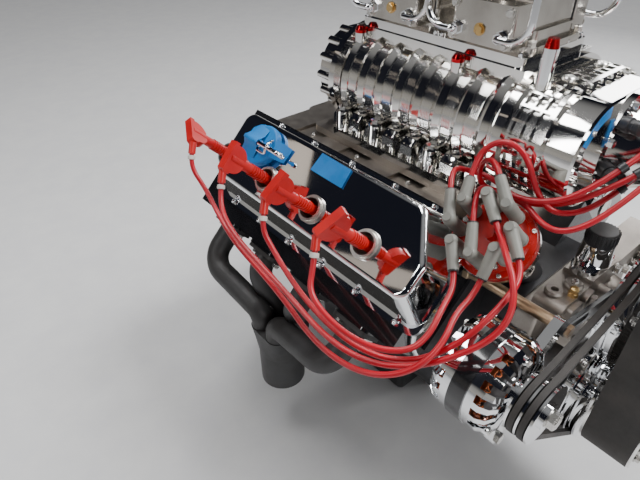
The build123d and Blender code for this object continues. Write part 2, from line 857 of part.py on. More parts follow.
# Blower
case_length = case_front - case_rear
rib_pitch = case_length / rib_count
with BuildPart() as blower_case:
    with BuildSketch(front(case_rear)):
        with Locations((0, blower_height)):
            SlotCenterToCenter(2 * rotor_half, 2 * case_radius)
        with Locations((0, blower_base)):
            Rectangle(2 * (rotor_half + 62), blower_height - blower_base,
                      align=(Align.CENTER, Align.MIN))
        with Locations((0, blower_height)):
            Rectangle(2 * case_top_half, deck - blower_height, align=(Align.CENTER, Align.MIN))
    extrude(amount=case_length)
    # crowned ribs, each down to a lug with a stud standing on the base
    for i in range(rib_count):
        f = case_rear + rib_pitch * (i + 0.5)
        with BuildSketch(front(f)):
            with Locations((0, blower_height)):
                SlotCenterToCenter(2 * rotor_half, 2 * rib_radius)
            with Locations((0, blower_base)):
                Rectangle(2 * (rotor_half + rib_radius), lug_low, align=(Align.CENTER, Align.MIN),
                          mode=Mode.SUBTRACT)
        extrude(amount=rib_width / 2, both=True, taper=rib_draft)
        reach = front_lug_half if i == rib_count - 1 else lug_half
        round_lug = i in round_lugs
        for sx in (-1, 1):
            with BuildSketch(front(f - lug_width / 2)):
                Polygon((sx * lug_root, blower_base + lug_low),
                        (sx * reach, blower_base + lug_low),
                        (sx * reach, blower_base + lug_high - 11),
                        (sx * (reach - 11), blower_base + lug_high),
                        (sx * lug_root, blower_base + lug_high + 8), align=None)
            extrude(amount=lug_width)
            stud_x = sx * (reach - lug_width / 2)
            with BuildSketch(level(blower_base + base_height)):
                with Locations((stud_x, -f)):
                    Circle(lug_width / 2 + 1 if round_lug else stud / 2)
            extrude(amount=(lug_high - 4 if round_lug else lug_low) - base_height)
            if round_lug:
                with BuildSketch(level(blower_base + lug_high - 4)):
                    with Locations((stud_x, -f)):
                        RegularPolygon(9, 6)
                extrude(amount=8)
    with BuildSketch(level(blower_base)):
        with Locations((0, -(case_rear + case_front) / 2)):
            RectangleRounded(2 * base_half, case_length, 6)
    extrude(amount=base_height)
    # bosses under the red domes
    with BuildSketch(level(blower_height + dome_rise)):
        with Locations(*[(dome_x, -f) for f in dome_f]):
            Circle(dome / 2)
    extrude(amount=-30)
finish(blower_case, "blower_case")

with BuildPart() as rear_bearing_plate:
    with BuildSketch(front(case_rear - plate_depth)):
        with Locations((0, blower_height)):
            SlotCenterToCenter(2 * rotor_half, 2 * rib_radius)
    extrude(amount=plate_depth)
finish(rear_bearing_plate, "rear_bearing_plate")

with BuildPart() as rear_cover:
    f = case_rear - plate_depth - rear_cover_depth
    with BuildSketch(front(f)):
        with Locations((0, blower_height)):
            SlotCenterToCenter(2 * rotor_half, 2 * (cover_radius - 6))
    extrude(amount=rear_cover_depth)
    with BuildSketch(front(f)):
        for sx in (-1, 1):
            with Locations((sx * rotor_half, blower_height)):
                with PolarLocations(cover_radius - 6, 7, start_angle=90 - sx * 90 - 75,
                                    angular_range=150, endpoint=True):
                    Circle(7)
    extrude(amount=rear_cover_depth)
finish(rear_cover, "rear_cover")

with BuildPart() as front_bearing_plate:
    with BuildSketch(front(case_front)):
        with Locations((0, blower_height)):
            SlotCenterToCenter(2 * rotor_half, 2 * rib_radius)
    extrude(amount=plate_depth)
finish(front_bearing_plate, "front_bearing_plate")

with BuildPart() as gear_cover:
    with BuildSketch(front(gear_rear)):
        with Locations((0, blower_height)):
            SlotCenterToCenter(2 * rotor_half, 2 * cover_radius)
    extrude(amount=gear_cover_depth)
    # lengthwise ribs, crossed by three thin ones
    with BuildSketch(front(gear_rear)):
        for sx in (-1, 1):
            with Locations((sx * rotor_half, blower_height)):
                with PolarLocations(cover_radius, 13, start_angle=90 - sx * 90 - 90,
                                    angular_range=180, endpoint=True):
                    Rectangle(2 * cover_rib, cover_rib_width)
        with Locations((0, blower_height)):
            with GridLocations(16, 2 * cover_radius, 5, 2):
                Rectangle(cover_rib_width, 2 * cover_rib)
    extrude(amount=gear_cover_depth)
    for f, depth in ((gear_rear, 7), (gear_rear + 20, 2.5), (gear_rear + 34, 2.5),
                     (drum_rear - 7, 7)):
        with BuildSketch(front(f)):
            with Locations((0, blower_height)):
                SlotCenterToCenter(2 * rotor_half, 2 * (cover_radius + cover_rib))
        extrude(amount=depth)
    # boss under the vent
    with BuildSketch(level(blower_height + vent_rise)):
        with Locations((vent_x, -gear_rear - vent_ahead)):
            Circle(vent / 2)
    extrude(amount=-30)
finish(gear_cover, "gear_cover")

with BuildPart() as front_drum:
    with BuildSketch(front(drum_rear)):
        with Locations((0, blower_height)):
            SlotCenterToCenter(2 * rotor_half, 2 * drum_radius)
    extrude(amount=drum_depth)
    chamfer(front_drum.faces().sort_by(Axis.Y)[0].edges(), length=3)
finish(front_drum, "front_drum")

# Snout and the blower's pulley
with BuildPart() as snout:
    nose_f = snout_front - 8
    plane, outline = turned([(0, snout_rear), (snout_radius + 16, snout_rear),
                             (snout_radius + 16, snout_rear + 10), (snout_radius, snout_rear + 10),
                             (snout_nose + 6, (snout_rear + nose_f) / 2), (snout_nose, nose_f),
                             (0, nose_f)], 0, blower_height)
    with BuildSketch(plane):
        Polygon(*outline, align=None)
    revolve(axis=Axis((0, 0, blower_height), (0, 1, 0)))
finish(snout, "snout")
blower_pulley = cog_pulley(blower_cogs, 0, blower_height, snout_front - 7.7, 30, nose_end)
finish(blower_pulley, "blower_pulley")

# Toothed belt, a fixed loop round both pulleys
with BuildPart() as cog_belt:
    inner = [(0, 0, cog_radius(crank_cogs)), (0, blower_height, cog_radius(blower_cogs))]
    with BuildSketch(front(cog_belt_rear + 0.5)):
        for grow, mode in ((cog_belt_thick, Mode.ADD), (0, Mode.SUBTRACT)):
            with BuildSketch(front(0), mode=Mode.PRIVATE) as loop:
                for x, z, r in inner:
                    with Locations((x, z)):
                        Circle(r + belt_clearance + grow)
                make_hull(loop.edges())
            add(loop.sketch_local, mode=mode)
    extrude(amount=cog_belt_width - 1)
finish(cog_belt, "cog_belt")

# Fan belts round the crank, water pump and alternator
with BuildPart() as fan_belts:
    wheels = [(0, 0, crank_groove), (0, pump_height, pump_groove),
              (alternator_x, alternator_z, alternator_groove)]
    for row in (-1, 1):
        with BuildSketch(front(belt_f + row * belt_pitch / 2 - belt_width / 3)):
            for grow, mode in ((belt_height, Mode.ADD), (0, Mode.SUBTRACT)):
                with BuildSketch(front(0), mode=Mode.PRIVATE) as loop:
                    for x, z, groove in wheels:
                        with Locations((x, z)):
                            Circle(groove / 2 + belt_clearance + grow)
                    make_hull(loop.edges())
                add(loop.sketch_local, mode=mode)
        extrude(amount=2 * belt_width / 3)
finish(fan_belts, "fan_belts")

# Distributor, tilted with the right bank
x, z = on_bank(0, dist_a)
dist_side = Plane(origin=(x, -dist_f, z), x_dir=(0, 1, 0), z_dir=(cos(t), 0, sin(t)))
dist_axis = Axis((x, -dist_f, z), (-sin(t), 0, cos(t)))
with BuildPart() as distributor:
    with BuildSketch(dist_side):
        Polygon((0, dist_seat), (25, dist_seat), (25, dist_seat + 6), (dist_neck, dist_seat + 6),
                (dist_neck, dist_bowl - 14), (dist_bowl_radius, dist_bowl),
                (dist_bowl_radius, cap_seat - 13), (cap_width / 2 + cap_rim, cap_seat - 9),
                (cap_width / 2 + cap_rim, cap_seat),
                (0, cap_seat), align=None)
    revolve(axis=dist_axis)
finish(distributor, "distributor")

# Cap with a tower for each lead and a bare one in the middle
cap_spots = [(-dist_f + terminal_circle / 2 * cos(radians(angle)),
              dist_a + terminal_circle / 2 * sin(radians(angle))) for angle, _, _ in terminals.values()]
with BuildPart() as distributor_cap:
    with BuildSketch(dist_side):
        Polygon((0, cap_seat), (cap_width / 2, cap_seat), (cap_width / 2, cap_seat + 12),
                (50, cap_seat + 15), (50, cap_seat + 25), (40, cap_seat + 31),
                (0, cap_seat + 31), align=None)
    revolve(axis=dist_axis)
    with BuildSketch(bank(cap_seat + 15)):
        with Locations(*cap_spots):
            Circle(tower / 2)
        with Locations((-dist_f, dist_a)):
            Circle(tower / 2 + 0.5)
    extrude(amount=tower_top - cap_seat - 15)
finish(distributor_cap, "distributor_cap")


def terminal(angle, d):
    """A place above one of the cap's towers. The angle is from rearward to the exhaust side."""
    w = radians(angle)
    x, z = on_bank(d, dist_a + terminal_circle / 2 * sin(w))
    return Vector(x, -dist_f + terminal_circle / 2 * cos(w), z)


def cap_boot_end(key):
    """Where a lead leaves its boot on the cap."""
    angle, turn, reach = terminals[key]
    return terminal(angle, elbow_d) + bank_dir(turn) * reach


# Right-angled boots on the cap's towers
with BuildPart() as cap_boots:
    for angle, turn, reach in terminals.values():
        sleeve = Plane(origin=terminal(angle, cap_seat + 33), x_dir=bank_dir(turn),
                       z_dir=bank_up())
        with BuildSketch(sleeve):
            Circle(sleeve_width / 2)
            Circle(tower / 2 + belt_clearance, mode=Mode.SUBTRACT)
        extrude(amount=tower_top + belt_clearance - cap_seat - 33)
        with BuildSketch(sleeve.offset(tower_top + belt_clearance - cap_seat - 33)):
            Circle(sleeve_width / 2)
        extrude(amount=elbow_d - tower_top - belt_clearance)
        with BuildSketch(sleeve.offset(1)):
            Circle(sleeve_width / 2 + 1)
            Circle(tower / 2 + belt_clearance, mode=Mode.SUBTRACT)
        extrude(amount=4)
        with Locations(terminal(angle, elbow_d)):
            Sphere(sleeve_width / 2)
        with BuildSketch(sleeve.offset(elbow_d - cap_seat - 33)):
            Circle(sleeve_width / 2 - 3.5)
        extrude(amount=sleeve_width / 2 + 1)
        with BuildSketch(Plane(origin=terminal(angle, elbow_d), x_dir=bank_up(),
                               z_dir=bank_dir(turn))):
            Circle(sleeve_width / 2 - 0.7)
        extrude(amount=reach, taper=2)
finish(cap_boots, "cap_boots")


def corner_radii(points):
    """The bend radius at each inner point of a lead's route."""
    radii = []
    for before, here, after in zip(points, points[1:], points[2:]):
        run_in, run_out = here - before, after - here
        turn = radians(run_in.get_angle(run_out))
        radii.append(0.45 * min(run_in.length, run_out.length) / tan(turn / 2))
    return radii


# Plug leads, from the plug boots to the cap
for key, middle in lead_routes.items():
    side, number = key.split("_")
    left = side == "left"
    start = boot_end(bores(left)[int(number) - 1], int(number) - 1, left)
    end = cap_boot_end(key)
    points = [start, start + outlet_dir(left) * lead_straight,
              *[Vector(*p) for p in middle],
              end + bank_dir(terminals[key][1]) * lead_straight, end]
    radii = corner_radii(points)
    with BuildPart() as lead_piece:
        with BuildLine() as run:
            FilletPolyline(*points, radius=radii)
        with BuildSketch(Plane(origin=run.line @ 0, z_dir=run.line % 0)):
            Circle(lead / 2)
        sweep()
    length = run.wires()[0].length
    expected = pi * lead ** 2 / 4 * length
    print(f"lead_{key}: {length:.0f} long, radii", [round(r) for r in radii],
          f"volume {lead_piece.part.volume / expected:.4f} of section by length")
    finish(lead_piece, f"lead_{key}")

# Top plate and the two carburettors
with BuildPart() as carburettor_plate:
    with BuildSketch(level(deck)):
        with Locations((0, -(case_rear + case_front) / 2)):
            RectangleRounded(2 * case_top_half - 8, case_length - 16, 10)
    extrude(amount=top_plate)
finish(carburettor_plate, "carburettor_plate")


def carburettor(f):
    """A four-barrel carburettor set crosswise, its float bowls at the left and the right."""
    seat = deck + top_plate
    with BuildPart() as body:
        with BuildSketch(level(seat)):
            with Locations((0, -f)):
                RectangleRounded(134, 132, 14)
        extrude(amount=10)
        with BuildSketch(level(seat + 10)):
            with Locations((0, -f)):
                RectangleRounded(112, 116, 16)
        extrude(amount=18)
        with BuildSketch(level(seat + 28)):
            with Locations((0, -f)):
                RectangleRounded(104, 104, 8)
        extrude(amount=carb_height - 28)
        for sx in (-1, 1):
            with BuildSketch(level(seat + 8)):
                with Locations((sx * (52 + bowl_depth / 2), -f)):
                    RectangleRounded(bowl_depth, bowl_length, 8)
            extrude(amount=bowl_height)
        with BuildSketch(level(seat + carb_height)):
            with Locations((0, -f)):
                Circle(air_horn / 2)
        extrude(amount=horn_height)
        with BuildSketch(level(seat + carb_height + 3)):
            with Locations((0, -f)):
                Circle(air_horn / 2 - 4)
        extrude(amount=horn_height, mode=Mode.SUBTRACT)
        with BuildSketch(level(seat + carb_height + 3)):
            with Locations((0, -f)):
                with GridLocations(barrel_pitch, barrel_pitch, 2, 2):
                    Circle(barrel / 2)
        extrude(amount=-barrel_depth, mode=Mode.SUBTRACT)
        with BuildSketch(level(seat + carb_height)):
            with Locations((0, -f)):
                Circle(6)
        extrude(amount=horn_height + 8)
    return body


with BuildPart() as carburettors:
    for way in (-1, 1):
        add(carburettor(carb_centre + way * carb_pitch / 2).part)
finish(carburettors, "carburettors")

# Fuel lines: a log along each side with three pipes down to the float bowls
feed_z = deck + top_plate + 24
log_z = deck + top_plate + log_rise
feed_x = 52 + bowl_depth + feed_gap
riser_f = [carb_centre + i * carb_pitch for i in (-1, 0, 1)]
with BuildPart() as fuel_lines_right:
    with BuildSketch(front(riser_f[0] - 16)):
        with Locations((-feed_x, log_z)):
            Circle(fuel_log / 2)
    extrude(amount=riser_f[2] - riser_f[0] + 32)
    for f in riser_f:
        for ahead in (-1, 1):
            centre = f + ahead * carb_pitch / 2
            if carb_centre - carb_pitch < centre < carb_centre + carb_pitch:
                port = centre - ahead * (bowl_length / 2 - 14)
                with BuildLine() as run:
                    FilletPolyline((-feed_x + feed_gap, -port, feed_z), (-feed_x, -port, feed_z),
                                   (-feed_x, -f, feed_z), (-feed_x, -f, log_z),
                                   radius=[4, 30])
                with BuildSketch(Plane(origin=run.line @ 0, z_dir=run.line % 0)):
                    Circle(fuel_pipe / 2)
                sweep()
with BuildPart() as fuel_lines:
    add(fuel_lines_right.part)
    mirror(about=Plane.YZ)
finish(fuel_lines, "fuel_lines")

# Red domes on the case's bosses and the gear cover's vent
with BuildPart() as port_domes:
    for f in dome_f:
        with BuildSketch(level(blower_height + dome_rise)):
            with Locations((dome_x, -f)):
                Circle(dome / 2)
        extrude(amount=5)
        with BuildSketch(level(blower_height + dome_rise + 5)):
            with Locations((dome_x, -f)):
                Circle(dome / 2)
        extrude(amount=6, taper=30)
    with BuildSketch(level(blower_height + vent_rise + vent_height)):
        with Locations((vent_x, -gear_rear - vent_ahead)):
            Circle(vent / 2 - 0.5)
    extrude(amount=12, taper=12)
finish(port_domes, "port_domes")
with BuildPart() as gear_cover_vent:
    with BuildSketch(level(blower_height + vent_rise)):
        with Locations((vent_x, -gear_rear - vent_ahead)):
            Circle(vent / 2)
    extrude(amount=vent_height)
finish(gear_cover_vent, "gear_cover_vent")

# Alternator: two halves of the case about the stator, with a rotor inside
band_rear = alternator_rear + alternator_half
band_front = band_rear + alternator_band
shell = alternator_width / 2
alternator_axis = Axis((alternator_x, 0, alternator_z), (0, 1, 0))
ear_spots = ((stay_x, stay_z), (pivot_x, pivot_z))


def alternator_case(f_open, way, ears):
    """Half of the case: a cup open at f_open, windows round its shoulder, an ear at each spot."""
    end = f_open + way * alternator_half
    ear_f = end - way * 6 - (ear_depth if way > 0 else 0)
    with BuildPart() as cup:
        plane, outline = turned(
            [(shaft_hole, end + way * 3), (21, end + way * 3), (21, end), (52, end),
             (66, end - way * 6), (shell, end - way * 17), (shell, f_open),
             (shell - case_wall, f_open), (shell - case_wall, end - way * 19),
             (62, end - way * 11), (50, end - way * 6), (shaft_hole, end - way * 6)],
            alternator_x, alternator_z)
        with BuildSketch(plane):
            Polygon(*outline, align=None)
        revolve(axis=alternator_axis)
        with BuildSketch(front(end - way * 26)):
            with Locations((alternator_x, alternator_z)):
                for number in range(case_windows):
                    if number % window_group:
                        with Locations(Rotation(0, 0, 90 + number * 360 / case_windows)):
                            Polygon((34, -2.4), (shell + 2, -6.4), (shell + 2, 6.4), (34, 2.4),
                                    align=None)
        extrude(amount=way * 34, mode=Mode.SUBTRACT)
        for x, z in ears:
            middle = (alternator_x + 0.6 * (x - alternator_x), alternator_z + 0.6 * (z - alternator_z))
            with BuildSketch(front(ear_f)):
                with Locations((x, z)):
                    Circle(ear_radius)
                with Locations(middle):
                    Circle(17)
                make_hull()
                with Locations((x, z)):
                    Circle(ear_hole / 2, mode=Mode.SUBTRACT)
                with Locations((alternator_x, alternator_z)):
                    Circle(62, mode=Mode.SUBTRACT)
            extrude(amount=ear_depth)
    return cup


alternator_case_front = alternator_case(band_front, 1, ((stay_x, stay_z), (pivot_x, pivot_z)))
finish(alternator_case_front, "alternator_case_front")
alternator_case_rear = alternator_case(band_rear, -1, ((pivot_x, pivot_z),))
finish(alternator_case_rear, "alternator_case_rear")


def ring(f_from, f_to, outer, inner, x, z):
    """A ring, or a disc where inner is 0, between two forward distances."""
    with BuildPart() as body:
        with BuildSketch(front(f_from)):
            with Locations((x, z)):
                Circle(outer)
                if inner:
                    Circle(inner, mode=Mode.SUBTRACT)
        extrude(amount=f_to - f_from)
    return body


winding = 64
stator = ring(band_rear, band_front, shell + 2, winding, alternator_x, alternator_z)
finish(stator, "alternator_stator")
windings = ring(band_rear - 16, band_front + 16, winding - belt_clearance, winding - 7,
                alternator_x, alternator_z)
finish(windings, "alternator_windings")
pulley_seat = alternator_front + 3 + belt_clearance
with BuildPart() as alternator_rotor:
    with BuildSketch(front(alternator_rear - 3)):
        with Locations((alternator_x, alternator_z)):
            Circle(shaft_hole - 0.5)
    extrude(amount=pulley_seat - alternator_rear + 3)
    with BuildSketch(front(band_rear - 18)):
        with Locations((alternator_x, alternator_z)):
            Circle(winding - 14)
    extrude(amount=alternator_band + 36)
finish(alternator_rotor, "alternator_rotor")
with BuildPart() as alternator_pulley:
    plane, outline = turned(belt_pulley(belt_f, alternator_groove, 20, pulley_seat,
                                        cog_belt_rear - 4), alternator_x, alternator_z)
    with BuildSketch(plane):
        Polygon(*outline, align=None)
    revolve(axis=alternator_axis)
finish(alternator_pulley, "alternator_pulley")

# Alternator's supports: the long stay with its adjuster arm, and the lower bracket with its bolt
ear_front = alternator_front - bolt_head
arm_front = ear_front + arm_thick
with BuildPart() as alternator_stay:
    for f_from, f_to, radius in ((head_front + 5, ear_front - ear_depth, stay_width / 2),
                                 (ear_front - ear_depth, arm_front, ear_hole / 2 - 0.3)):
        with BuildSketch(front(f_from)):
            with Locations((stay_x, stay_z)):
                Circle(radius)
        extrude(amount=f_to - f_from)
    with BuildSketch(front(arm_front)):
        with Locations((stay_x, stay_z)):
            RegularPolygon(9.5, 6)
    extrude(amount=6)
finish(alternator_stay, "alternator_stay")
with BuildPart() as adjuster_arm:
    with BuildSketch(front(ear_front)):
        for x, z in ((stay_x, stay_z), arm_boss):
            with Locations((x, z)):
                Circle(11)
        make_hull()
        with BuildSketch(front(0), mode=Mode.PRIVATE) as slot:
            for share in (0, 0.4):
                with Locations((stay_x + share * (arm_boss[0] - stay_x),
                                stay_z + share * (arm_boss[1] - stay_z))):
                    Circle(ear_hole / 2)
            make_hull()
        add(slot.sketch_local, mode=Mode.SUBTRACT)
    extrude(amount=arm_thick)
finish(adjuster_arm, "adjuster_arm")
with BuildPart() as alternator_bracket:
    with BuildSketch(front(face_f)):
        with Locations((pivot_x, pivot_z)):
            Circle(ear_radius)
        with Locations((-92, 101)):
            Rectangle(60, 34)
        make_hull()
        with Locations((pivot_x, pivot_z)):
            Circle(ear_hole / 2, mode=Mode.SUBTRACT)
    extrude(amount=10)
    with BuildSketch(front(alternator_rear + 6 + ear_depth)):
        with Locations((pivot_x, pivot_z)):
            Circle(ear_radius)
            Circle(ear_hole / 2, mode=Mode.SUBTRACT)
    extrude(amount=face_f - alternator_rear - 6 - ear_depth)
finish(alternator_bracket, "alternator_bracket")
with BuildPart() as pivot_bolt:
    for f_from, f_to, radius in ((alternator_rear + 6, ear_front, ear_hole / 2 - 0.3),
                                 (face_f + 10, ear_front - ear_depth, 9)):
        with BuildSketch(front(f_from)):
            with Locations((pivot_x, pivot_z)):
                Circle(radius)
        extrude(amount=f_to - f_from)
    for f in (alternator_rear, ear_front):
        with BuildSketch(front(f)):
            with Locations((pivot_x, pivot_z)):
                RegularPolygon(9.5, 6)
        extrude(amount=6)
finish(pivot_bolt, "pivot_bolt")

# Idler on the toothed belt's left strand, on a bracket from the pump housing's left arm
strand_lean = (cog_radius(crank_cogs) - cog_radius(blower_cogs)) / blower_height
idler_x = (cog_radius(crank_cogs) + belt_clearance + cog_belt_thick + idler_gap + idler
           - idler_z * strand_lean) / (1 - strand_lean ** 2) ** 0.5
with BuildPart() as idler_bracket:
    with BuildSketch(front(pump_front)):
        with Locations((idler_x, idler_z)):
            Circle(22)
        with Locations((116, pump_height + 38)):
            Rectangle(64, 40)
        make_hull()
    extrude(amount=12)
    with BuildSketch(front(pump_front + 12)):
        with Locations((idler_x, idler_z)):
            Circle(17)
    extrude(amount=cog_belt_rear - 6 - pump_front - 12)
    with BuildSketch(front(cog_belt_rear - 6)):
        with Locations((idler_x, idler_z)):
            Circle(spindle)
    extrude(amount=cog_belt_width + 14)
finish(idler_bracket, "idler_bracket")
idler_pulley = ring(cog_belt_rear + 2, cog_belt_rear + cog_belt_width - 2, idler,
                    spindle + belt_clearance, idler_x, idler_z)
finish(idler_pulley, "idler_pulley")

# Oil filter on the block's left side
with BuildPart() as oil_filter:
    side = Plane(origin=(rail_half, -filter_f, filter_z), x_dir=(0, 1, 0), z_dir=(1, 0, 0))
    with BuildSketch(side):
        Circle(36)
    extrude(amount=14)
    with BuildSketch(side.offset(14)):
        Circle(oil_can / 2)
    extrude(amount=filter_length)
    fillet(oil_filter.faces().sort_by(Axis.X)[-1].edges(), radius=12)
finish(oil_filter, "oil_filter")

# Exhaust headers: a tube from each port to a collector that opens downwards
with BuildPart() as header_right:
    seat_a = head_half + port_raise
    for f, (out, ahead) in zip(bores(), ((-1, 1), (1, 1), (1, -1), (-1, -1))):
        reach = 50 if out > 0 else 88
        x, z = on_bank(port_d, seat_a)
        bend_x, bend_z = on_bank(port_d, seat_a + reach)
        end_x = collector_x + out * cluster
        end_f = collector_f + ahead * cluster
        with BuildLine() as run:
            FilletPolyline((x, -f, z), (bend_x, -f, bend_z),
                           (end_x, -end_f, collector_top + 30), (end_x, -end_f, collector_top - 4),
                           radius=[44, 26])
        with BuildSketch(Plane(origin=run.line @ 0, z_dir=run.line % 0)):
            Circle(header_tube / 2)
        sweep()
    with BuildSketch(flank(seat_a, port_d)):
        with Locations(*[(-f, 0) for f in bores()]):
            RectangleRounded(port_flange, port_face - 6, 12)
    extrude(amount=8)
    with BuildSketch(level(collector_top)):
        with Locations((collector_x, -collector_f)):
            RectangleRounded(2 * cluster + header_tube + 3, 2 * cluster + header_tube + 3, 23)
    with BuildSketch(level(collector_top - 60)):
        with Locations((collector_x, -collector_f)):
            Circle(collector / 2)
    loft()
    with BuildSketch(level(collector_top - 60)):
        with Locations((collector_x, -collector_f)):
            Circle(collector / 2)
    extrude(amount=-collector_length)
    with BuildSketch(level(collector_top - 60 - collector_length)):
        with Locations((collector_x, -collector_f)):
            Circle(collector / 2 - 2)
    extrude(amount=collector_length - 10, mode=Mode.SUBTRACT)
headers = both_banks(header_right)
finish(headers, "headers")
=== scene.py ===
from math import cos, pi, radians, sin, tau

import bmesh
import bpy
from mathutils import Matrix, Quaternion, Vector


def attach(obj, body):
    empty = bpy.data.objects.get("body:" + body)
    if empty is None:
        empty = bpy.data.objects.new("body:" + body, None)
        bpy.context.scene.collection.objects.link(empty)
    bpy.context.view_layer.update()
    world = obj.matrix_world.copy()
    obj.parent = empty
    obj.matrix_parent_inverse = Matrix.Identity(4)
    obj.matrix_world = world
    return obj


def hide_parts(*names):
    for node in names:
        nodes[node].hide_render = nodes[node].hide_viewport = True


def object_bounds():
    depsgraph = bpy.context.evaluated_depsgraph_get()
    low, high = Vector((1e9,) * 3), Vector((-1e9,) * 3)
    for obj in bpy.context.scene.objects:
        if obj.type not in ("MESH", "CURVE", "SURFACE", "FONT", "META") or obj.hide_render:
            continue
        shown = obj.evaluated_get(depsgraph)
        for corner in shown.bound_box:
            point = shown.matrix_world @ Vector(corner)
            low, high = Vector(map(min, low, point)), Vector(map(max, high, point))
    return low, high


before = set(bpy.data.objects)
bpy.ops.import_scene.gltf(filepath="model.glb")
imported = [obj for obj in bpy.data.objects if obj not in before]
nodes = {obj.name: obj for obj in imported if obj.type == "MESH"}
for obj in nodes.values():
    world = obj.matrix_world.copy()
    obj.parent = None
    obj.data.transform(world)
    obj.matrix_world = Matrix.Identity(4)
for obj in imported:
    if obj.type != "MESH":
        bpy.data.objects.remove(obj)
cad_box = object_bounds()

# Driving sizes, in metres. f is forward of the block's rear face; on a bank, d is up the bores
# and a is across them, to the exhaust side
bank_tilt = radians(45)
cylinders = 4
rear_bore = 0.100
bore_pitch = 0.1219
stagger = 0.022
cover_top = 0.434
lead_diameter = 0.008
rotor_half = 0.0508
blower_height = 0.432
blower_base = 0.340
ribs = 8
case_rear, case_front = 0.204, 0.529
rib_pitch = (case_front - case_rear) / ribs
lug_top = 0.400
deck_top = 0.538
both = (-1, 1)
banks = (("right", False), ("left", True))


def on_bank(f, d, a=0.0, left=False):
    """A point on a bank."""
    x = -d * sin(bank_tilt) - a * cos(bank_tilt)
    return Vector((-x if left else x, -f, d * cos(bank_tilt) - a * sin(bank_tilt)))


def bank_up(left=False):
    """The way up a bank's bores."""
    return Vector((sin(bank_tilt) if left else -sin(bank_tilt), 0, cos(bank_tilt)))


def bank_out(left=False):
    """The way to a bank's exhaust side, square to its bores."""
    return Vector((cos(bank_tilt) if left else -cos(bank_tilt), 0, -sin(bank_tilt)))


def forward(left):
    """How far a bank stands forward of the right one."""
    return stagger if left else 0


def bores(left=False):
    """The forward distances of a bank's bores, from the front one to the rear one."""
    return [rear_bore + bore_pitch * i + forward(left) for i in reversed(range(cylinders))]


def spot(point, up, along=None):
    """A matrix at a point, with z along up and x as near along as it can be."""
    z = Vector(up).normalized()
    x = Vector(along) if along else z.orthogonal()
    x = (x - z * x.dot(z)).normalized()
    y = z.cross(x)
    return Matrix.Translation(point) @ Matrix((x, y, z)).transposed().to_4x4()


# Materials


def new_material(name):
    """An empty node material with its shader and object coordinates."""
    material = bpy.data.materials.new(name)
    material.use_nodes = True
    tree = material.node_tree
    shader = tree.nodes["Principled BSDF"]
    coordinates = tree.nodes.new("ShaderNodeTexCoord")
    return material, tree, shader, coordinates.outputs["Object"]


def noise(tree, where, scale, detail):
    """A noise texture's value output."""
    node = tree.nodes.new("ShaderNodeTexNoise")
    node.inputs["Scale"].default_value = scale
    node.inputs["Detail"].default_value = detail
    node.inputs["Roughness"].default_value = 0.55
    tree.links.new(where, node.inputs["Vector"])
    return node.outputs["Fac"]


def ramp(tree, value, stops):
    """A colour ramp over (position, colour) stops."""
    node = tree.nodes.new("ShaderNodeValToRGB")
    elements = node.color_ramp.elements
    while len(elements) < len(stops):
        elements.new(0.5)
    for element, (position, colour) in zip(elements, stops):
        element.position = position
        element.color = (*colour, 1)
    tree.links.new(value, node.inputs["Fac"])
    return node.outputs["Color"]


def spread(tree, value, low, high, start=0.0, end=1.0):
    """A value moved from start..end to low..high."""
    node = tree.nodes.new("ShaderNodeMapRange")
    node.inputs["From Min"].default_value = start
    node.inputs["From Max"].default_value = end
    node.inputs["To Min"].default_value = low
    node.inputs["To Max"].default_value = high
    tree.links.new(value, node.inputs["Value"])
    return node.outputs["Result"]


def arithmetic(tree, operation, value, *others):
    """A math node's result, for a linked value and others that are linked or plain numbers."""
    node = tree.nodes.new("ShaderNodeMath")
    node.operation = operation
    tree.links.new(value, node.inputs[0])
    for other, term in zip(others, node.inputs[1:]):
        if isinstance(other, float):
            term.default_value = other
        else:
            tree.links.new(other, term)
    return node.outputs["Value"]


def add_bump(tree, shader, height, strength, distance):
    """A bump from a height value, on top of any that the shader already has."""
    node = tree.nodes.new("ShaderNodeBump")
    node.inputs["Strength"].default_value = strength
    node.inputs["Distance"].default_value = distance
    tree.links.new(height, node.inputs["Height"])
    normal = shader.inputs["Normal"]
    if normal.is_linked:
        tree.links.new(normal.links[0].from_socket, node.inputs["Normal"])
    tree.links.new(node.outputs["Normal"], normal)


def bands(tree, where, direction, scale):
    """Fine parallel lines across a direction."""
    node = tree.nodes.new("ShaderNodeTexWave")
    node.bands_direction = direction
    node.inputs["Scale"].default_value = scale
    tree.links.new(where, node.inputs["Vector"])
    return node.outputs["Fac"]


def metal(name, light, dark, low, high, grain, wear, bump):
    """A bare or plated metal: colour and roughness vary in patches, with a fine grain."""
    material, tree, shader, where = new_material(name)
    patches = noise(tree, where, wear, 6)
    tree.links.new(ramp(tree, patches, [(0.32, dark), (0.62, light)]), shader.inputs["Base Color"])
    tree.links.new(spread(tree, noise(tree, where, grain, 8), low, high), shader.inputs["Roughness"])
    shader.inputs["Metallic"].default_value = 1.0
    add_bump(tree, shader, noise(tree, where, grain * 8, 3), bump, 0.0004)
    return material


def coated(name, light, dark, low, high, grain, bump, coat=0.0, wear=14):
    """Rubber, plastic or paint: two near tones in patches, and a fine texture."""
    material, tree, shader, where = new_material(name)
    patches = noise(tree, where, wear, 5)
    tree.links.new(ramp(tree, patches, [(0.35, dark), (0.65, light)]), shader.inputs["Base Color"])
    tree.links.new(spread(tree, noise(tree, where, grain, 4), low, high), shader.inputs["Roughness"])
    shader.inputs["Coat Weight"].default_value = coat
    add_bump(tree, shader, noise(tree, where, grain * 6, 3), bump, 0.0005)
    return material


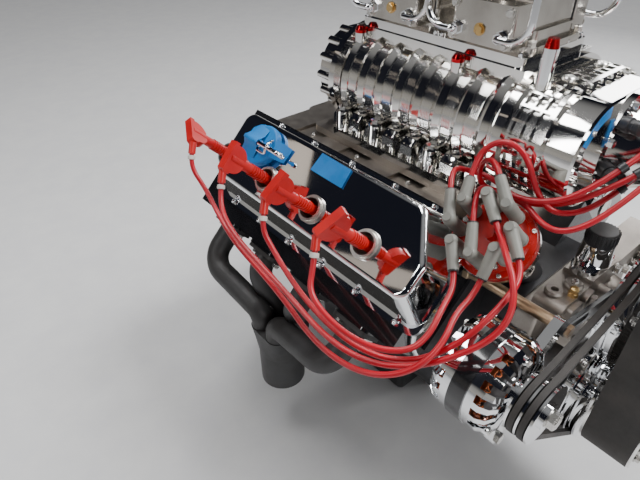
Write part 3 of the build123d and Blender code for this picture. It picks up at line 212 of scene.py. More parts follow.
# Metals: name, light tone, dark tone, least and most roughness, grain, wear, bump
chrome = metal("chrome", (0.90, 0.91, 0.92), (0.80, 0.81, 0.83), 0.02, 0.07, 40, 6, 0.01)
polished = metal("polished_alloy", (0.88, 0.87, 0.85), (0.76, 0.74, 0.72), 0.03, 0.09, 40, 8, 0.012)
cast = metal("cast_alloy", (0.50, 0.46, 0.42), (0.30, 0.27, 0.24), 0.38, 0.62, 120, 10, 0.5)
aged = metal("aged_alloy", (0.56, 0.51, 0.46), (0.36, 0.325, 0.29), 0.24, 0.40, 60, 10, 0.06)
bright = metal("bright_zinc", (0.62, 0.59, 0.54), (0.44, 0.41, 0.37), 0.14, 0.28, 60, 14, 0.06)
satin = metal("satin_plate", (0.90, 0.88, 0.83), (0.78, 0.75, 0.70), 0.24, 0.36, 60, 20, 0.05)
zinc = metal("zinc_plate", (0.72, 0.71, 0.68), (0.52, 0.50, 0.47), 0.18, 0.36, 60, 20, 0.1)
steel = metal("dark_steel", (0.34, 0.34, 0.35), (0.16, 0.15, 0.15), 0.28, 0.5, 60, 20, 0.12)
bronze = metal("bronzed_steel", (0.52, 0.40, 0.27), (0.30, 0.20, 0.12), 0.22, 0.42, 60, 25, 0.1)
brass = metal("brass", (0.72, 0.50, 0.22), (0.50, 0.32, 0.12), 0.2, 0.38, 60, 20, 0.06)
copper = metal("copper_wire", (0.60, 0.19, 0.08), (0.34, 0.08, 0.03), 0.24, 0.42, 60, 30, 0.1)
red_anodised = metal("red_anodised", (0.62, 0.02, 0.03), (0.42, 0.01, 0.015), 0.15, 0.3, 60, 20, 0.04)
case_alloy = metal("case_alloy", (0.88, 0.87, 0.84), (0.76, 0.74, 0.71), 0.07, 0.14, 40, 8, 0.012)

# Paint, rubber and plastic: name, light tone, dark tone, least and most roughness, grain, bump, coat
iron = coated("block_paint", (0.045, 0.045, 0.05), (0.02, 0.02, 0.022), 0.3, 0.5, 120, 0.3)
black_paint = coated("black_paint", (0.028, 0.028, 0.03), (0.012, 0.012, 0.013), 0.22, 0.4, 80, 0.1)
header_paint = coated("header_paint", (0.035, 0.035, 0.036), (0.02, 0.018, 0.017), 0.4, 0.6, 90, 0.2)
gloss_black = coated("gloss_black", (0.014, 0.014, 0.016), (0.009, 0.009, 0.010), 0.07, 0.16, 40, 0.03,
                     0.5)
red_rubber = coated("red_silicone", (0.60, 0.016, 0.014), (0.46, 0.009, 0.010), 0.26, 0.4, 80, 0.05)
red_lead = coated("red_leads", (0.50, 0.004, 0.018), (0.38, 0.003, 0.012), 0.28, 0.42, 80, 0.04)
red_cap = coated("red_cap", (0.55, 0.016, 0.012), (0.38, 0.008, 0.008), 0.16, 0.34, 60, 0.06, 0.25)
grey_rubber = coated("grey_boots", (0.27, 0.27, 0.24), (0.19, 0.19, 0.17), 0.42, 0.6, 90, 0.12)
belt_rubber = coated("belt_rubber", (0.055, 0.048, 0.043), (0.03, 0.027, 0.025), 0.5, 0.75, 140, 0.3)
black_plastic = coated("black_plastic", (0.03, 0.03, 0.032), (0.016, 0.016, 0.018), 0.3, 0.5, 90, 0.1)
blue_tape = coated("blue_tape", (0.006, 0.21, 0.58), (0.004, 0.14, 0.44), 0.38, 0.6, 160, 0.35)
white_sleeve = coated("white_sleeve", (0.72, 0.68, 0.64), (0.55, 0.52, 0.48), 0.4, 0.55, 90, 0.05)


def blower_valleys(tree, where):
    """One between the blower's ribs and above their lugs, and nothing elsewhere."""
    axes = tree.nodes.new("ShaderNodeSeparateXYZ")
    tree.links.new(where, axes.inputs["Vector"])
    turns = arithmetic(tree, "MULTIPLY_ADD", axes.outputs["Y"], tau / rib_pitch,
                       tau * case_rear / rib_pitch)
    swing = arithmetic(tree, "COSINE", turns)
    between_ribs = spread(tree, swing, 0, 1, 0.30, 0.45)
    above_lugs = spread(tree, axes.outputs["Z"], 0, 1, lug_top, lug_top + 0.01)
    return arithmetic(tree, "MULTIPLY", between_ribs, above_lugs)


def lined(name, base, direction, scale, strength, distance, within=None):
    """A metal with fine machining lines across one direction, where a mask allows them."""
    material = base.copy()
    material.name = name
    tree = material.node_tree
    shader = tree.nodes["Principled BSDF"]
    where = next(n for n in tree.nodes if n.type == "TEX_COORD").outputs["Object"]
    lines = bands(tree, where, direction, scale)
    if within:
        lines = arithmetic(tree, "MULTIPLY", lines, within(tree, where))
    add_bump(tree, shader, lines, strength, distance)
    return material


machined = lined("machined_alloy", case_alloy, "Y", 105, 1.0, 0.00008, blower_valleys)
turned_alloy = lined("turned_alloy", polished, "Y", 230, 0.12, 0.0002)

finishes = {
    chrome: ["valve_cover_left", "valve_cover_right", "water_neck", "fuel_lines",
             "gear_cover_vent", "alternator_case_front", "alternator_case_rear", "crank_pulley",
             "alternator_pulley", "pump_pulley"],
    machined: ["blower_case"],
    turned_alloy: ["blower_pulley", "crank_cog_pulley", "snout", "idler_pulley"],
    case_alloy: ["gear_cover"],
    polished: ["rear_bearing_plate", "rear_cover", "front_bearing_plate", "front_drum",
               "carburettor_plate", "idler_bracket", "distributor"],
    satin: ["plug_tubes"],
    cast: ["timing_cover", "water_pump"],
    aged: ["manifold"],
    gloss_black: ["head_left", "head_right", "alternator_stator"],
    iron: ["block"],
    bright: ["carburettors"],
    zinc: ["alternator_bracket", "pivot_bolt"],
    steel: ["crankshaft", "crank_damper", "alternator_rotor"],
    bronze: ["alternator_stay"],
    black_paint: ["adjuster_arm", "oil_pan", "oil_filter"],
    header_paint: ["headers"],
    red_rubber: ["plug_boots"],
    grey_rubber: ["cap_boots"],
    belt_rubber: ["fan_belts", "cog_belt"],
    red_cap: ["distributor_cap"],
    black_plastic: ["neck_cap"],
    red_anodised: ["port_domes"],
    copper: ["alternator_windings"],
    blue_tape: ["filler_cap"],
}
for material, names in finishes.items():
    for name in names:
        mesh = nodes[name].data
        mesh.materials.clear()
        mesh.materials.append(material)


# Meshes


def lathe(bm, profile, place, sides):
    """Add a turned form. The profile is (radius, height) pairs, and the axis is place's z."""
    rings = []
    for radius, height in profile:
        if radius < 1e-6:
            rings.append([bm.verts.new(place @ Vector((0, 0, height)))])
        else:
            rings.append([bm.verts.new(place @ Vector((radius * cos(tau * k / sides),
                                                       radius * sin(tau * k / sides), height)))
                          for k in range(sides)])
    for low, high in zip(rings, rings[1:]):
        for k in range(sides):
            corners = [low[k % len(low)], low[(k + 1) % len(low)],
                       high[(k + 1) % len(high)], high[k % len(high)]]
            unique = list(dict.fromkeys(corners))
            if len(unique) > 2:
                bm.faces.new(unique)


def slab(bm, size, place, bevel=0.0):
    """Add a block, its corner edges rounded by bevel."""
    verts = bmesh.ops.create_cube(bm, size=1.0)["verts"]
    bmesh.ops.scale(bm, vec=size, verts=verts)
    bmesh.ops.transform(bm, matrix=place, verts=verts)
    if bevel:
        edges = list({e for v in verts for e in v.link_edges})
        bmesh.ops.bevel(bm, geom=edges, offset=bevel, segments=2, profile=0.6, affect="EDGES")


def add_object(name, data):
    """A new object in the scene."""
    made = bpy.data.objects.new(name, data)
    bpy.context.scene.collection.objects.link(made)
    return made


def piece(name, bm, material, body="engine", sharp=32):
    """Make an object of a mesh and let it ride on its body."""
    bmesh.ops.recalc_face_normals(bm, faces=bm.faces)
    mesh = bpy.data.meshes.new(name)
    bm.to_mesh(mesh)
    bm.free()
    mesh.polygons.foreach_set("use_smooth", [True] * len(mesh.polygons))
    mesh.set_sharp_from_angle(angle=radians(sharp))
    mesh.materials.append(material)
    made = add_object(name, mesh)
    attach(made, body)
    return made


def smooth_line(name, points):
    """A smooth line with these control points."""
    curve = bpy.data.curves.new(name, "CURVE")
    curve.dimensions = "3D"
    curve.resolution_u = 8
    spline = curve.splines.new("NURBS")
    spline.points.add(len(points) - 1)
    for control, point in zip(spline.points, points):
        control.co = (*point, 1)
    spline.order_u = 3
    spline.use_endpoint_u = True
    return curve


def smooth_curve(name, points, radius, material, body="engine", thick=8):
    """A round tube along a smooth line with these control points."""
    curve = smooth_line(name, points)
    curve.bevel_depth = radius
    curve.bevel_resolution = thick // 2
    curve.use_fill_caps = True
    curve.materials.append(material)
    made = add_object(name, curve)
    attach(made, body)
    return made


def hex_bolt(bm, place, across, height, washer):
    """A hexagon head, on a washer of a radius if it has one."""
    base = 0.0
    if washer:
        base = 0.0014
        lathe(bm, [(0, 0), (washer, 0), (washer, base), (0, base)], place, 20)
    r = across / 2 / cos(pi / 6)
    lathe(bm, [(0, base), (r, base), (r, base + height * 0.86), (r * 0.86, base + height),
               (0, base + height)], place, 6)


def acorn_nut(bm, place, across, height):
    """A domed nut on a thin washer."""
    r = across / 2 / cos(pi / 6)
    base = 0.0012
    lathe(bm, [(0, 0), (across * 0.78, 0), (across * 0.78, base), (0, base)], place, 18)
    lathe(bm, [(r, base), (r, height * 0.5), (r * 0.84, height * 0.56)], place, 6)
    lathe(bm, [(r * 0.84, height * 0.5), (r * 0.74, height * 0.76), (r * 0.45, height * 0.94),
               (0, height)], place, 14)


def socket_screw(bm, place, radius, height):
    """A round head with a hollow in it."""
    lathe(bm, [(radius, 0), (radius, height * 0.85), (radius * 0.88, height),
               (radius * 0.5, height), (radius * 0.46, height * 0.5), (0, height * 0.45)], place, 14)


def ahead(f, x, z, way=-1):
    """A matrix at a place across the engine, facing forward, or rearward where way is 1."""
    return spot((x, -f, z), (0, way, 0), (0, 0, 1))


def above(f, x, z):
    """A matrix at a place facing up."""
    return spot((x, -f, z), (0, 0, 1), (0, 1, 0))


def beside(f, x, z, way):
    """A matrix at a place facing sideways, to -x or +x."""
    return spot((x, -f, z), (way, 0, 0), (0, 0, 1))


def around(radius, count, x=0.0, z=0.0, start=90.0):
    """Places evenly round a circle across the engine, as pairs of x and z."""
    return [(x + radius * cos(radians(start) + tau * k / count),
             z + radius * sin(radians(start) + tau * k / count)) for k in range(count)]


def round_case(radius, count):
    """Places evenly round an outline of the blower's shape, as pairs of x and z."""
    straight, turn = 2 * rotor_half, pi * radius
    places = []
    for k in range(count):
        run = 2 * (straight + turn) * (k + 0.5) / count
        side = 1 if run < straight + turn else -1
        run -= 0 if side > 0 else straight + turn
        w = max(0.0, run - straight) / radius
        x = min(run, straight) - rotor_half + radius * sin(w)
        places.append((side * x, blower_height + side * radius * cos(w)))
    return places


def copies(name, places, make, material, body="engine"):
    """One object of like small forms, one made at each place."""
    bm = bmesh.new()
    for place in places:
        make(bm, place)
    return piece(name, bm, material, body)


def hexagon(across, height, washer=0.0):
    """What makes a hexagon head of a size, with its washer's radius."""
    return lambda bm, place: hex_bolt(bm, place, across, height, washer)


def acorn(across, height):
    """What makes a domed nut of a size."""
    return lambda bm, place: acorn_nut(bm, place, across, height)


def socket(radius, height):
    """What makes a socket screw's head of a size."""
    return lambda bm, place: socket_screw(bm, place, radius, height)


def turning(profile, sides=24):
    """What makes a turned form of a profile."""
    return lambda bm, place: lathe(bm, profile, place, sides)


def plate(size, bevel=0.0):
    """What makes a block that stands on its place."""
    lift = Matrix.Translation((0, 0, size[2] / 2))
    return lambda bm, place: slab(bm, size, place @ lift, bevel)


# Plug leads, from the plug boots to the cap: each route as the solids have it
leads = {
    "right_1": [(-0.3996, -0.4641, 0.3425), (-0.4095, -0.4718, 0.3244), (-0.430, -0.488, 0.304),
                (-0.432, -0.522, 0.288), (-0.424, -0.562, 0.275), (-0.406, -0.599, 0.270),
                (-0.381, -0.624, 0.273), (-0.353, -0.628, 0.286), (-0.322, -0.618, 0.301),
                (-0.2837, -0.6063, 0.3074), (-0.2715, -0.5928, 0.3197)],
    "right_2": [(-0.4007, -0.3487, 0.3414), (-0.4106, -0.3564, 0.3234), (-0.411, -0.381, 0.303),
                (-0.415, -0.416, 0.285), (-0.418, -0.458, 0.269), (-0.418, -0.505, 0.256),
                (-0.413, -0.551, 0.248), (-0.400, -0.593, 0.247), (-0.381, -0.626, 0.256),
                (-0.360, -0.649, 0.274), (-0.338, -0.665, 0.296), (-0.315, -0.674, 0.317),
                (-0.285, -0.677, 0.335), (-0.2444, -0.6712, 0.3467), (-0.2334, -0.6556, 0.3577)],
    "right_3": [(-0.4005, -0.2331, 0.3416), (-0.4104, -0.2408, 0.3236), (-0.424, -0.271, 0.305),
                (-0.429, -0.320, 0.289), (-0.428, -0.381, 0.275), (-0.428, -0.446, 0.261),
                (-0.430, -0.508, 0.248), (-0.423, -0.563, 0.243), (-0.406, -0.609, 0.249),
                (-0.380, -0.645, 0.264), (-0.350, -0.673, 0.286), (-0.322, -0.692, 0.309),
                (-0.297, -0.695, 0.334), (-0.275, -0.677, 0.358), (-0.254, -0.648, 0.372),
                (-0.2236, -0.6206, 0.3675), (-0.2132, -0.6042, 0.3779)],
    "right_4": [(-0.3933, -0.1269, 0.3489), (-0.4032, -0.1346, 0.3308), (-0.397, -0.166, 0.300),
                (-0.405, -0.217, 0.273), (-0.415, -0.282, 0.255), (-0.418, -0.355, 0.246),
                (-0.425, -0.428, 0.239), (-0.436, -0.495, 0.232), (-0.437, -0.552, 0.233),
                (-0.428, -0.599, 0.242), (-0.410, -0.632, 0.258), (-0.385, -0.649, 0.276),
                (-0.354, -0.650, 0.293), (-0.321, -0.637, 0.306), (-0.2798, -0.6334, 0.3114),
                (-0.2644, -0.63, 0.3267)],
    "left_1": [(0.364, -0.5262, 0.3696), (0.3585, -0.5438, 0.3575), (0.330, -0.575, 0.356),
               (0.281, -0.605, 0.379), (0.222, -0.635, 0.411), (0.160, -0.662, 0.443),
               (0.099, -0.684, 0.469), (0.041, -0.698, 0.484), (-0.013, -0.703, 0.482),
               (-0.061, -0.695, 0.460), (-0.101, -0.676, 0.429), (-0.129, -0.652, 0.401),
               (-0.144, -0.622, 0.387), (-0.150, -0.585, 0.382), (-0.144, -0.557, 0.389),
               (-0.137, -0.531, 0.387), (-0.149, -0.509, 0.390), (-0.170, -0.503, 0.399),
               (-0.1924, -0.5121, 0.3987), (-0.2056, -0.5238, 0.3855)],
    "left_2": [(0.364, -0.4043, 0.3696), (0.3585, -0.4219, 0.3575), (0.337, -0.460, 0.352),
               (0.308, -0.508, 0.355), (0.275, -0.561, 0.366), (0.238, -0.610, 0.387),
               (0.195, -0.651, 0.413), (0.147, -0.681, 0.443), (0.096, -0.701, 0.469),
               (0.044, -0.713, 0.486), (-0.005, -0.715, 0.484), (-0.053, -0.706, 0.453),
               (-0.084, -0.690, 0.412), (-0.109, -0.666, 0.378), (-0.129, -0.636, 0.370),
               (-0.134, -0.613, 0.390), (-0.139, -0.601, 0.415), (-0.143, -0.593, 0.434),
               (-0.144, -0.580, 0.447), (-0.145, -0.563, 0.452), (-0.149, -0.547, 0.449),
               (-0.158, -0.534, 0.437), (-0.1716, -0.5328, 0.4195), (-0.1865, -0.5392, 0.4047)],
    "left_3": [(0.364, -0.2824, 0.3696), (0.3585, -0.3, 0.3575), (0.341, -0.337, 0.360),
               (0.326, -0.388, 0.366), (0.316, -0.447, 0.368), (0.304, -0.509, 0.370),
               (0.282, -0.567, 0.374), (0.247, -0.618, 0.383), (0.203, -0.659, 0.403),
               (0.153, -0.690, 0.430), (0.099, -0.711, 0.457), (0.046, -0.724, 0.476),
               (-0.003, -0.728, 0.481), (-0.052, -0.719, 0.463), (-0.095, -0.692, 0.427),
               (-0.120, -0.647, 0.386), (-0.119, -0.601, 0.363), (-0.123, -0.568, 0.362),
               (-0.134, -0.543, 0.366), (-0.150, -0.531, 0.381), (-0.151, -0.528, 0.405),
               (-0.155, -0.540, 0.423), (-0.1637, -0.559, 0.4274), (-0.1745, -0.5749, 0.4166)],
    "left_4": [(0.364, -0.1605, 0.3696), (0.3585, -0.1781, 0.3575), (0.340, -0.215, 0.359),
               (0.324, -0.265, 0.364), (0.312, -0.329, 0.367), (0.303, -0.398, 0.371),
               (0.293, -0.468, 0.378), (0.280, -0.534, 0.388), (0.261, -0.592, 0.402),
               (0.232, -0.640, 0.418), (0.194, -0.678, 0.436), (0.150, -0.707, 0.454),
               (0.101, -0.726, 0.471), (0.051, -0.737, 0.482), (0.001, -0.740, 0.481),
               (-0.043, -0.734, 0.465), (-0.080, -0.717, 0.436), (-0.112, -0.702, 0.404),
               (-0.138, -0.685, 0.379), (-0.154, -0.663, 0.365), (-0.156, -0.637, 0.366),
               (-0.143, -0.605, 0.375), (-0.137, -0.577, 0.371), (-0.148, -0.552, 0.378),
               (-0.175, -0.546, 0.389), (-0.2103, -0.568, 0.3809), (-0.2239, -0.5786, 0.3673)],
}


def lead_line(points):
    """Points along a lead's smooth line, as its curve gives them."""
    curve = smooth_line("lead_line", points)
    holder = bpy.data.objects.new("lead_line", curve)
    line = bpy.data.meshes.new_from_object(holder)
    places = [v.co.copy() for v in line.vertices]
    bpy.data.objects.remove(holder)
    bpy.data.meshes.remove(line)
    bpy.data.curves.remove(curve)
    return places


def at_length(line, wanted):
    """The place and the way along a line at a length from its start."""
    for here, there in zip(line, line[1:]):
        run = (there - here).length
        if wanted <= run:
            return here.lerp(there, wanted / run), (there - here).normalized()
        wanted -= run
    return line[-1], (line[-1] - line[-2]).normalized()


marker_start = 0.003
marker = turning([(0.0042, 0), (0.0062, 0.0006), (0.0064, 0.0050), (0.0062, 0.0066),
                  (0.0042, 0.0072)], 20)
lead_lines = {}
for key, points in leads.items():
    wire = smooth_curve(f"wire_{key}", points, lead_diameter / 2, red_lead, thick=10)
    line = lead_line(points)
    lead_lines[key] = line
    sleeve = copies(f"marker_{key}", [spot(*at_length(line, marker_start))], marker, white_sleeve)
    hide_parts(f"lead_{key}")

# Blower: screws, nuts and bearing caps
gear_front, drum_front, flange_front = 0.597, 0.641, 0.651
plate_rear = case_rear - 0.013
cover_rear = plate_rear - 0.044
lobe_radius = 0.072
lobe_turns = [radians(-75 + 25 * k) for k in range(7)]
rib_f = [case_rear + rib_pitch * (i + 0.5) for i in range(ribs)]
square_lugs = [rib_f[i] for i in (1, 3, 4, 6)]
copies("gear_cover_screws", [ahead(gear_front, x, z) for x, z in round_case(radius=0.0805, count=26)],
       socket(radius=0.0029, height=0.003), zinc)
copies("drum_screws",
       [ahead(drum_front, x, z) for x, z in round_case(radius=0.0655, count=18) if abs(x) > 0.07],
       socket(radius=0.0042, height=0.004), zinc)
copies("snout_bolts",
       [ahead(flange_front, x, z)
        for x, z in around(radius=0.070, count=8, z=blower_height, start=112)],
       hexagon(across=0.011, height=0.007, washer=0.0075), chrome)
copies("rear_plate_screws",
       [ahead(plate_rear, x, z, 1) for x, z in round_case(radius=0.0855, count=22)],
       socket(radius=0.0034, height=0.003), zinc)
copies("rear_cover_screws",
       [ahead(cover_rear, sx * (rotor_half + lobe_radius * cos(w)),
              blower_height + lobe_radius * sin(w), 1) for sx in both for w in lobe_turns],
       socket(radius=0.0048, height=0.005), zinc)
copies("rear_bearing_caps", [ahead(cover_rear, sx * rotor_half, blower_height, 1) for sx in both],
       turning([(0, 0), (0.034, 0), (0.034, 0.003), (0.032, 0.005), (0.012, 0.005),
                (0.010, 0.008), (0, 0.008)], 40), turned_alloy)
copies("lug_faces",
       [spot((sx * 0.1405, -f, blower_base + 0.0465), (sx, 0, 1), (0, 1, 0))
        for f in square_lugs for sx in both],
       plate(size=(0.016, 0.0115, 0.0012), bevel=0.0004), polished)
copies("base_screws",
       [above(case_rear + rib_pitch * i, sx * 0.134, blower_base + 0.014)
        for i in range(1, ribs) for sx in both],
       socket(radius=0.0045, height=0.005), zinc)
copies("deck_screws",
       [above(f, sx * 0.078, deck_top) for f in (0.221, 0.366, 0.378, 0.512) for sx in both]
       + [above(f, sx * 0.03, deck_top) for f in (0.216, 0.517) for sx in both],
       socket(radius=0.0042, height=0.0045), chrome)
copies("gear_cover_plugs",
       [above(0.570, sx * 0.045, blower_height + 0.0835) for sx in both],
       turning([(0, 0), (0.0085, 0), (0.0085, 0.003), (0.0065, 0.0045), (0.003, 0.0045),
                (0, 0.002)]), zinc)

# Drive: pulley bolts and nuts turn with their pulleys
cog_face, nose_front, pump_face = 0.850, 0.860, 0.762
alternator_nose, idler_face = 0.766, 0.854
pump_height = 0.195
alternator_x, alternator_z = -0.268, 0.188
idler_x, idler_z = 0.10985, 0.300
copies("blower_pulley_bolts",
       [ahead(cog_face, x, z) for x, z in around(radius=0.045, count=6, z=blower_height)],
       hexagon(across=0.0105, height=0.006, washer=0.008), zinc, "blower_drive")
copies("blower_pulley_nut", [ahead(nose_front, 0, blower_height)],
       hexagon(across=0.030, height=0.007, washer=0.020), steel, "blower_drive")
copies("crank_pulley_bolts", [ahead(cog_face, x, z) for x, z in around(radius=0.057, count=8)],
       hexagon(across=0.0115, height=0.006, washer=0.009), zinc, "crank")
copies("crank_nose_bolt", [ahead(nose_front, 0, 0)],
       hexagon(across=0.034, height=0.007, washer=0.028), steel, "crank")
copies("pump_pulley_bolts",
       [ahead(pump_face, x, z) for x, z in around(radius=0.024, count=4, z=pump_height)],
       hexagon(across=0.011, height=0.006, washer=0.008), zinc, "pump")
copies("pump_shaft_end", [ahead(pump_face, 0, pump_height)],
       turning([(0, 0), (0.010, 0), (0.010, 0.005), (0.008, 0.006), (0, 0.006)]), steel, "pump")
copies("alternator_nut", [ahead(alternator_nose, alternator_x, alternator_z)],
       hexagon(across=0.022, height=0.010, washer=0.014), zinc, "alternator")
copies("idler_bolt", [ahead(idler_face, idler_x, idler_z)],
       hexagon(across=0.019, height=0.006, washer=0.0098), steel)

# Toothed belt: teeth along the inside of its two straight strands, which lean as its cogs differ
crank_cog, blower_cog, cog_gap = 0.07384, 0.06112, 0.0004
tooth_size, tooth_pitch, belt_f = (0.0034, 0.074, 0.0024), 0.008, 0.808
lean = (crank_cog - blower_cog) / blower_height
strand = (1 - lean ** 2) ** 0.5
teeth = []
for sx in both:
    out = Vector((sx * strand, 0, lean))
    along = Vector((-sx * lean, 0, strand))
    foot = out * (crank_cog + cog_gap) + Vector((0, -belt_f, 0))
    teeth += [spot(foot + along * tooth_pitch * k, -out, along) for k in range(3, 51)]
copies("belt_teeth", teeth, lambda bm, place: slab(bm, tooth_size, place), belt_rubber)

# Alternator: through-bolts, rear cap, terminals and coils
alternator_rear = 0.622
boss_rear, boss_front = 0.706, 0.7195
through = around(radius=0.0615, count=3, x=alternator_x, z=alternator_z)
copies("alternator_front_bosses", [ahead(boss_rear, x, z) for x, z in through],
       turning([(0, 0), (0.0072, 0), (0.0072, 0.012), (0.0062, 0.0135), (0, 0.0135)]), chrome)
copies("alternator_front_bolts", [ahead(boss_front, x, z) for x, z in through],
       hexagon(across=0.0075, height=0.004), zinc)
copies("alternator_rear_bolts", [ahead(alternator_rear + 0.0065, x, z, 1) for x, z in through],
       hexagon(across=0.0075, height=0.005), zinc)
copies("alternator_rear_cap", [ahead(alternator_rear, alternator_x, alternator_z, 1)],
       turning([(0, 0.004), (0.022, 0.004), (0.025, 0.002), (0.025, 0)], 36), black_plastic)
copies("alternator_terminals",
       [ahead(alternator_rear, alternator_x + x, alternator_z + z, 1)
        for x, z in ((0.036, 0.02), (0.040, -0.004))],
       turning([(0, 0), (0.0065, 0), (0.0065, 0.003), (0.0028, 0.003), (0.0028, 0.012),
                (0, 0.012)]), brass)
coil_loops, coil_radius = 30, 0.0615
swing_out, swing_along, coil_shift = 0.0010, 0.0045, 0.002
for name, middle_f, side in (("coils_front", 0.7005, 1), ("coils_rear", 0.6435, -1)):
    points = []
    for k in range(4 * coil_loops + 1):
        w = tau * k / (4 * coil_loops)
        r = coil_radius + swing_out * cos(k * pi / 2)
        f = middle_f + side * (swing_along * sin(k * pi / 2) + coil_shift)
        points.append((alternator_x + r * cos(w), -f, alternator_z + r * sin(w)))
    smooth_curve(name, points, 0.0012, copper, thick=4)

# Alternator's supports
copies("bracket_bolts", [ahead(0.665, x, 0.101) for x in (-0.112, -0.076)],
       hexagon(across=0.015, height=0.008, washer=0.010), zinc)
copies("stay_collar", [ahead(0.560, -0.182, 0.252)],
       turning([(0.0086, 0), (0.0125, 0), (0.0125, 0.008), (0.0086, 0.010)], 6), bronze)

# Water pump, its neck and the fittings on its housing
pump_front, bracket_front = 0.700, 0.712
housing_top, neck_flange_top = 0.256, 0.271
neck_x, neck_f = -0.038, 0.6775
plug_x, plug_f = -0.099, 0.684
cover_bolts = [(x, z) for x, z in around(radius=0.053, count=6, z=pump_height, start=30) if z < 0.25]
corner_bolts = [(-0.066, 0.222), (0.072, 0.222), (-0.062, 0.134), (0.062, 0.134)]
copies("pump_bolts", [ahead(pump_front, x, z) for x, z in cover_bolts + corner_bolts],
       hexagon(across=0.0125, height=0.007, washer=0.0085), zinc)
copies("idler_bracket_bolts", [ahead(bracket_front, x, 0.226) for x in (0.097, 0.134)],
       hexagon(across=0.0125, height=0.007, washer=0.0085), zinc)
copies("neck_bolts", [above(neck_f, neck_x + sx * 0.0355, neck_flange_top) for sx in both],
       hexagon(across=0.0115, height=0.007, washer=0.0075), chrome)
copies("housing_ports", [above(0.673, -0.133, housing_top), above(plug_f, plug_x, housing_top)],
       turning([(0.0055, 0.001), (0.0055, 0.007), (0.0115, 0.007), (0.0135, 0.004),
                (0.0135, 0)], 24), cast)
copies("housing_plug", [above(plug_f, plug_x, housing_top + 0.004)],
       hexagon(across=0.0095, height=0.008), zinc)
copies("housing_fitting", [above(0.693, -0.118, housing_top)],
       turning([(0.0075, 0), (0.0075, 0.005), (0.0055, 0.006), (0.0055, 0.009), (0.0068, 0.010),
                (0.0068, 0.013), (0.004, 0.015), (0, 0.015)], 6), brass)
grips, grip_radius, grip_z = 26, 0.0218, 0.316
copies("neck_cap_ribs",
       [spot((neck_x + grip_radius * cos(w), -neck_f + grip_radius * sin(w), grip_z),
             (cos(w), sin(w), 0), (0, 0, 1)) for w in (tau * k / grips for k in range(grips))],
       plate(size=(0.016, 0.0022, 0.0011), bevel=0.0003), black_plastic)

# Valve covers: nuts along their rails
rail_top = 0.370
outer_rail, outer_nuts = 0.0722, [0.110 + 0.086 * i for i in range(6)]
inner_rail, inner_nuts = -0.1016, [0.110, 0.210, 0.310, 0.410, 0.490]
for side, left in banks:
    places = [on_bank(f + forward(left), rail_top, outer_rail, left) for f in outer_nuts]
    places += [on_bank(f + forward(left), rail_top, inner_rail, left) for f in inner_nuts]
    copies(f"cover_nuts_{side}", [spot(p, bank_up(left), (0, 1, 0)) for p in places],
           acorn(across=0.0082, height=0.0085), chrome)

# Oil filler: a chrome lever over the taped cap, and the wire that holds it down
filler_f, filler_a = 0.178, -0.046
filler = spot(on_bank(filler_f, cover_top + 0.0003, filler_a), bank_up(), (0, 1, 0))
handle_height = 0.026


def on_filler(x, y, z):
    """A point over the filler: x is rearward and z is up the bores."""
    return filler @ Vector((x, y, z))


copies("filler_stem", [filler],
       turning([(0.0083, 0.0172), (0.0083, 0.0225), (0.006, 0.0265), (0, 0.0285)], 16), chrome)
smooth_curve("filler_handle",
             [on_filler(x, 0, handle_height + z)
              for x, z in ((0.006, 0), (-0.010, 0), (-0.026, 0), (-0.036, 0.0005), (-0.050, 0.0005),
                           (-0.0605, -0.001), (-0.0615, -0.012))], 0.0042, chrome)
smooth_curve("filler_bail",
             [on_filler(0.010, 0.011, 0.0185), on_filler(-0.010, 0.012, 0.0200),
              on_filler(-0.029, 0.012, 0.0220), on_filler(-0.032, 0.002, 0.0315),
              on_filler(-0.031, -0.010, 0.0290), on_filler(-0.026, -0.015, 0.0190)],
             0.0026, chrome)

# Blue tape, with nothing written on it


def sheet(name, rows):
    """A thin sheet of tape through rows of points."""
    bm = bmesh.new()
    grid = [[bm.verts.new(point) for point in row] for row in rows]
    for low, high in zip(grid, grid[1:]):
        for j in range(len(low) - 1):
            bm.faces.new((low[j], high[j], high[j + 1], low[j + 1]))
    bm.normal_update()
    bmesh.ops.solidify(bm, geom=bm.faces[:], thickness=0.0003)
    piece(name, bm, blue_tape, sharp=60)


def tape(name, corners, lift, up, columns=10, rows=4):
    """A bare piece of tape between four corners, its far edge lifting a little."""
    a, b, c, d = corners
    lines = []
    for u in (i / columns for i in range(columns + 1)):
        line = []
        for v in (j / rows for j in range(rows + 1)):
            flat = a.lerp(b, u).lerp(d.lerp(c, u), v)
            rise = lift * (u ** 3 + 0.35 * v ** 2 + 0.12 * sin(9 * u + 4 * v))
            line.append(flat + up * max(rise, 0))
        lines.append(line)
    sheet(name, lines)


note_plane = cover_top + 0.0006
tape("note_tape", [on_bank(f, note_plane, a) for f, a in ((0.299, -0.086), (0.371, -0.084),
                                                         (0.373, -0.052), (0.296, -0.053))],
     0.0014, bank_up())
tape("filler_tail", [on_filler(-0.031, -0.022, 0.0172), on_filler(-0.062, -0.020, 0.0020),
                     on_filler(-0.060, 0.008, 0.0020), on_filler(-0.033, 0.012, 0.0172)],
     0.0010, bank_up())

# Tape folded over the rear half of the filler's handle: its section, as across and up, and its
# rows, as rearward and the shares of the section's width and height
cap_plane = 0.0175
fold = [(-0.034, 0.0130), (-0.028, 0.0182), (-0.016, 0.0200), (-0.0065, 0.0270), (-0.003, 0.0312),
        (0.003, 0.0312), (0.0065, 0.0270), (0.016, 0.0200), (0.028, 0.0182), (0.034, 0.0130)]
drape = [(0.0365, 0.72, 0.80), (0.030, 0.90, 0.98), (0.020, 1.0, 1.0), (0.010, 1.0, 1.0),
         (0.001, 0.96, 1.0), (-0.004, 0.92, 0.97)]
sheet("filler_tape", [[on_filler(x, y * wide, cap_plane + (z - cap_plane) * tall) for y, z in fold]
                      for x, wide, tall in drape])

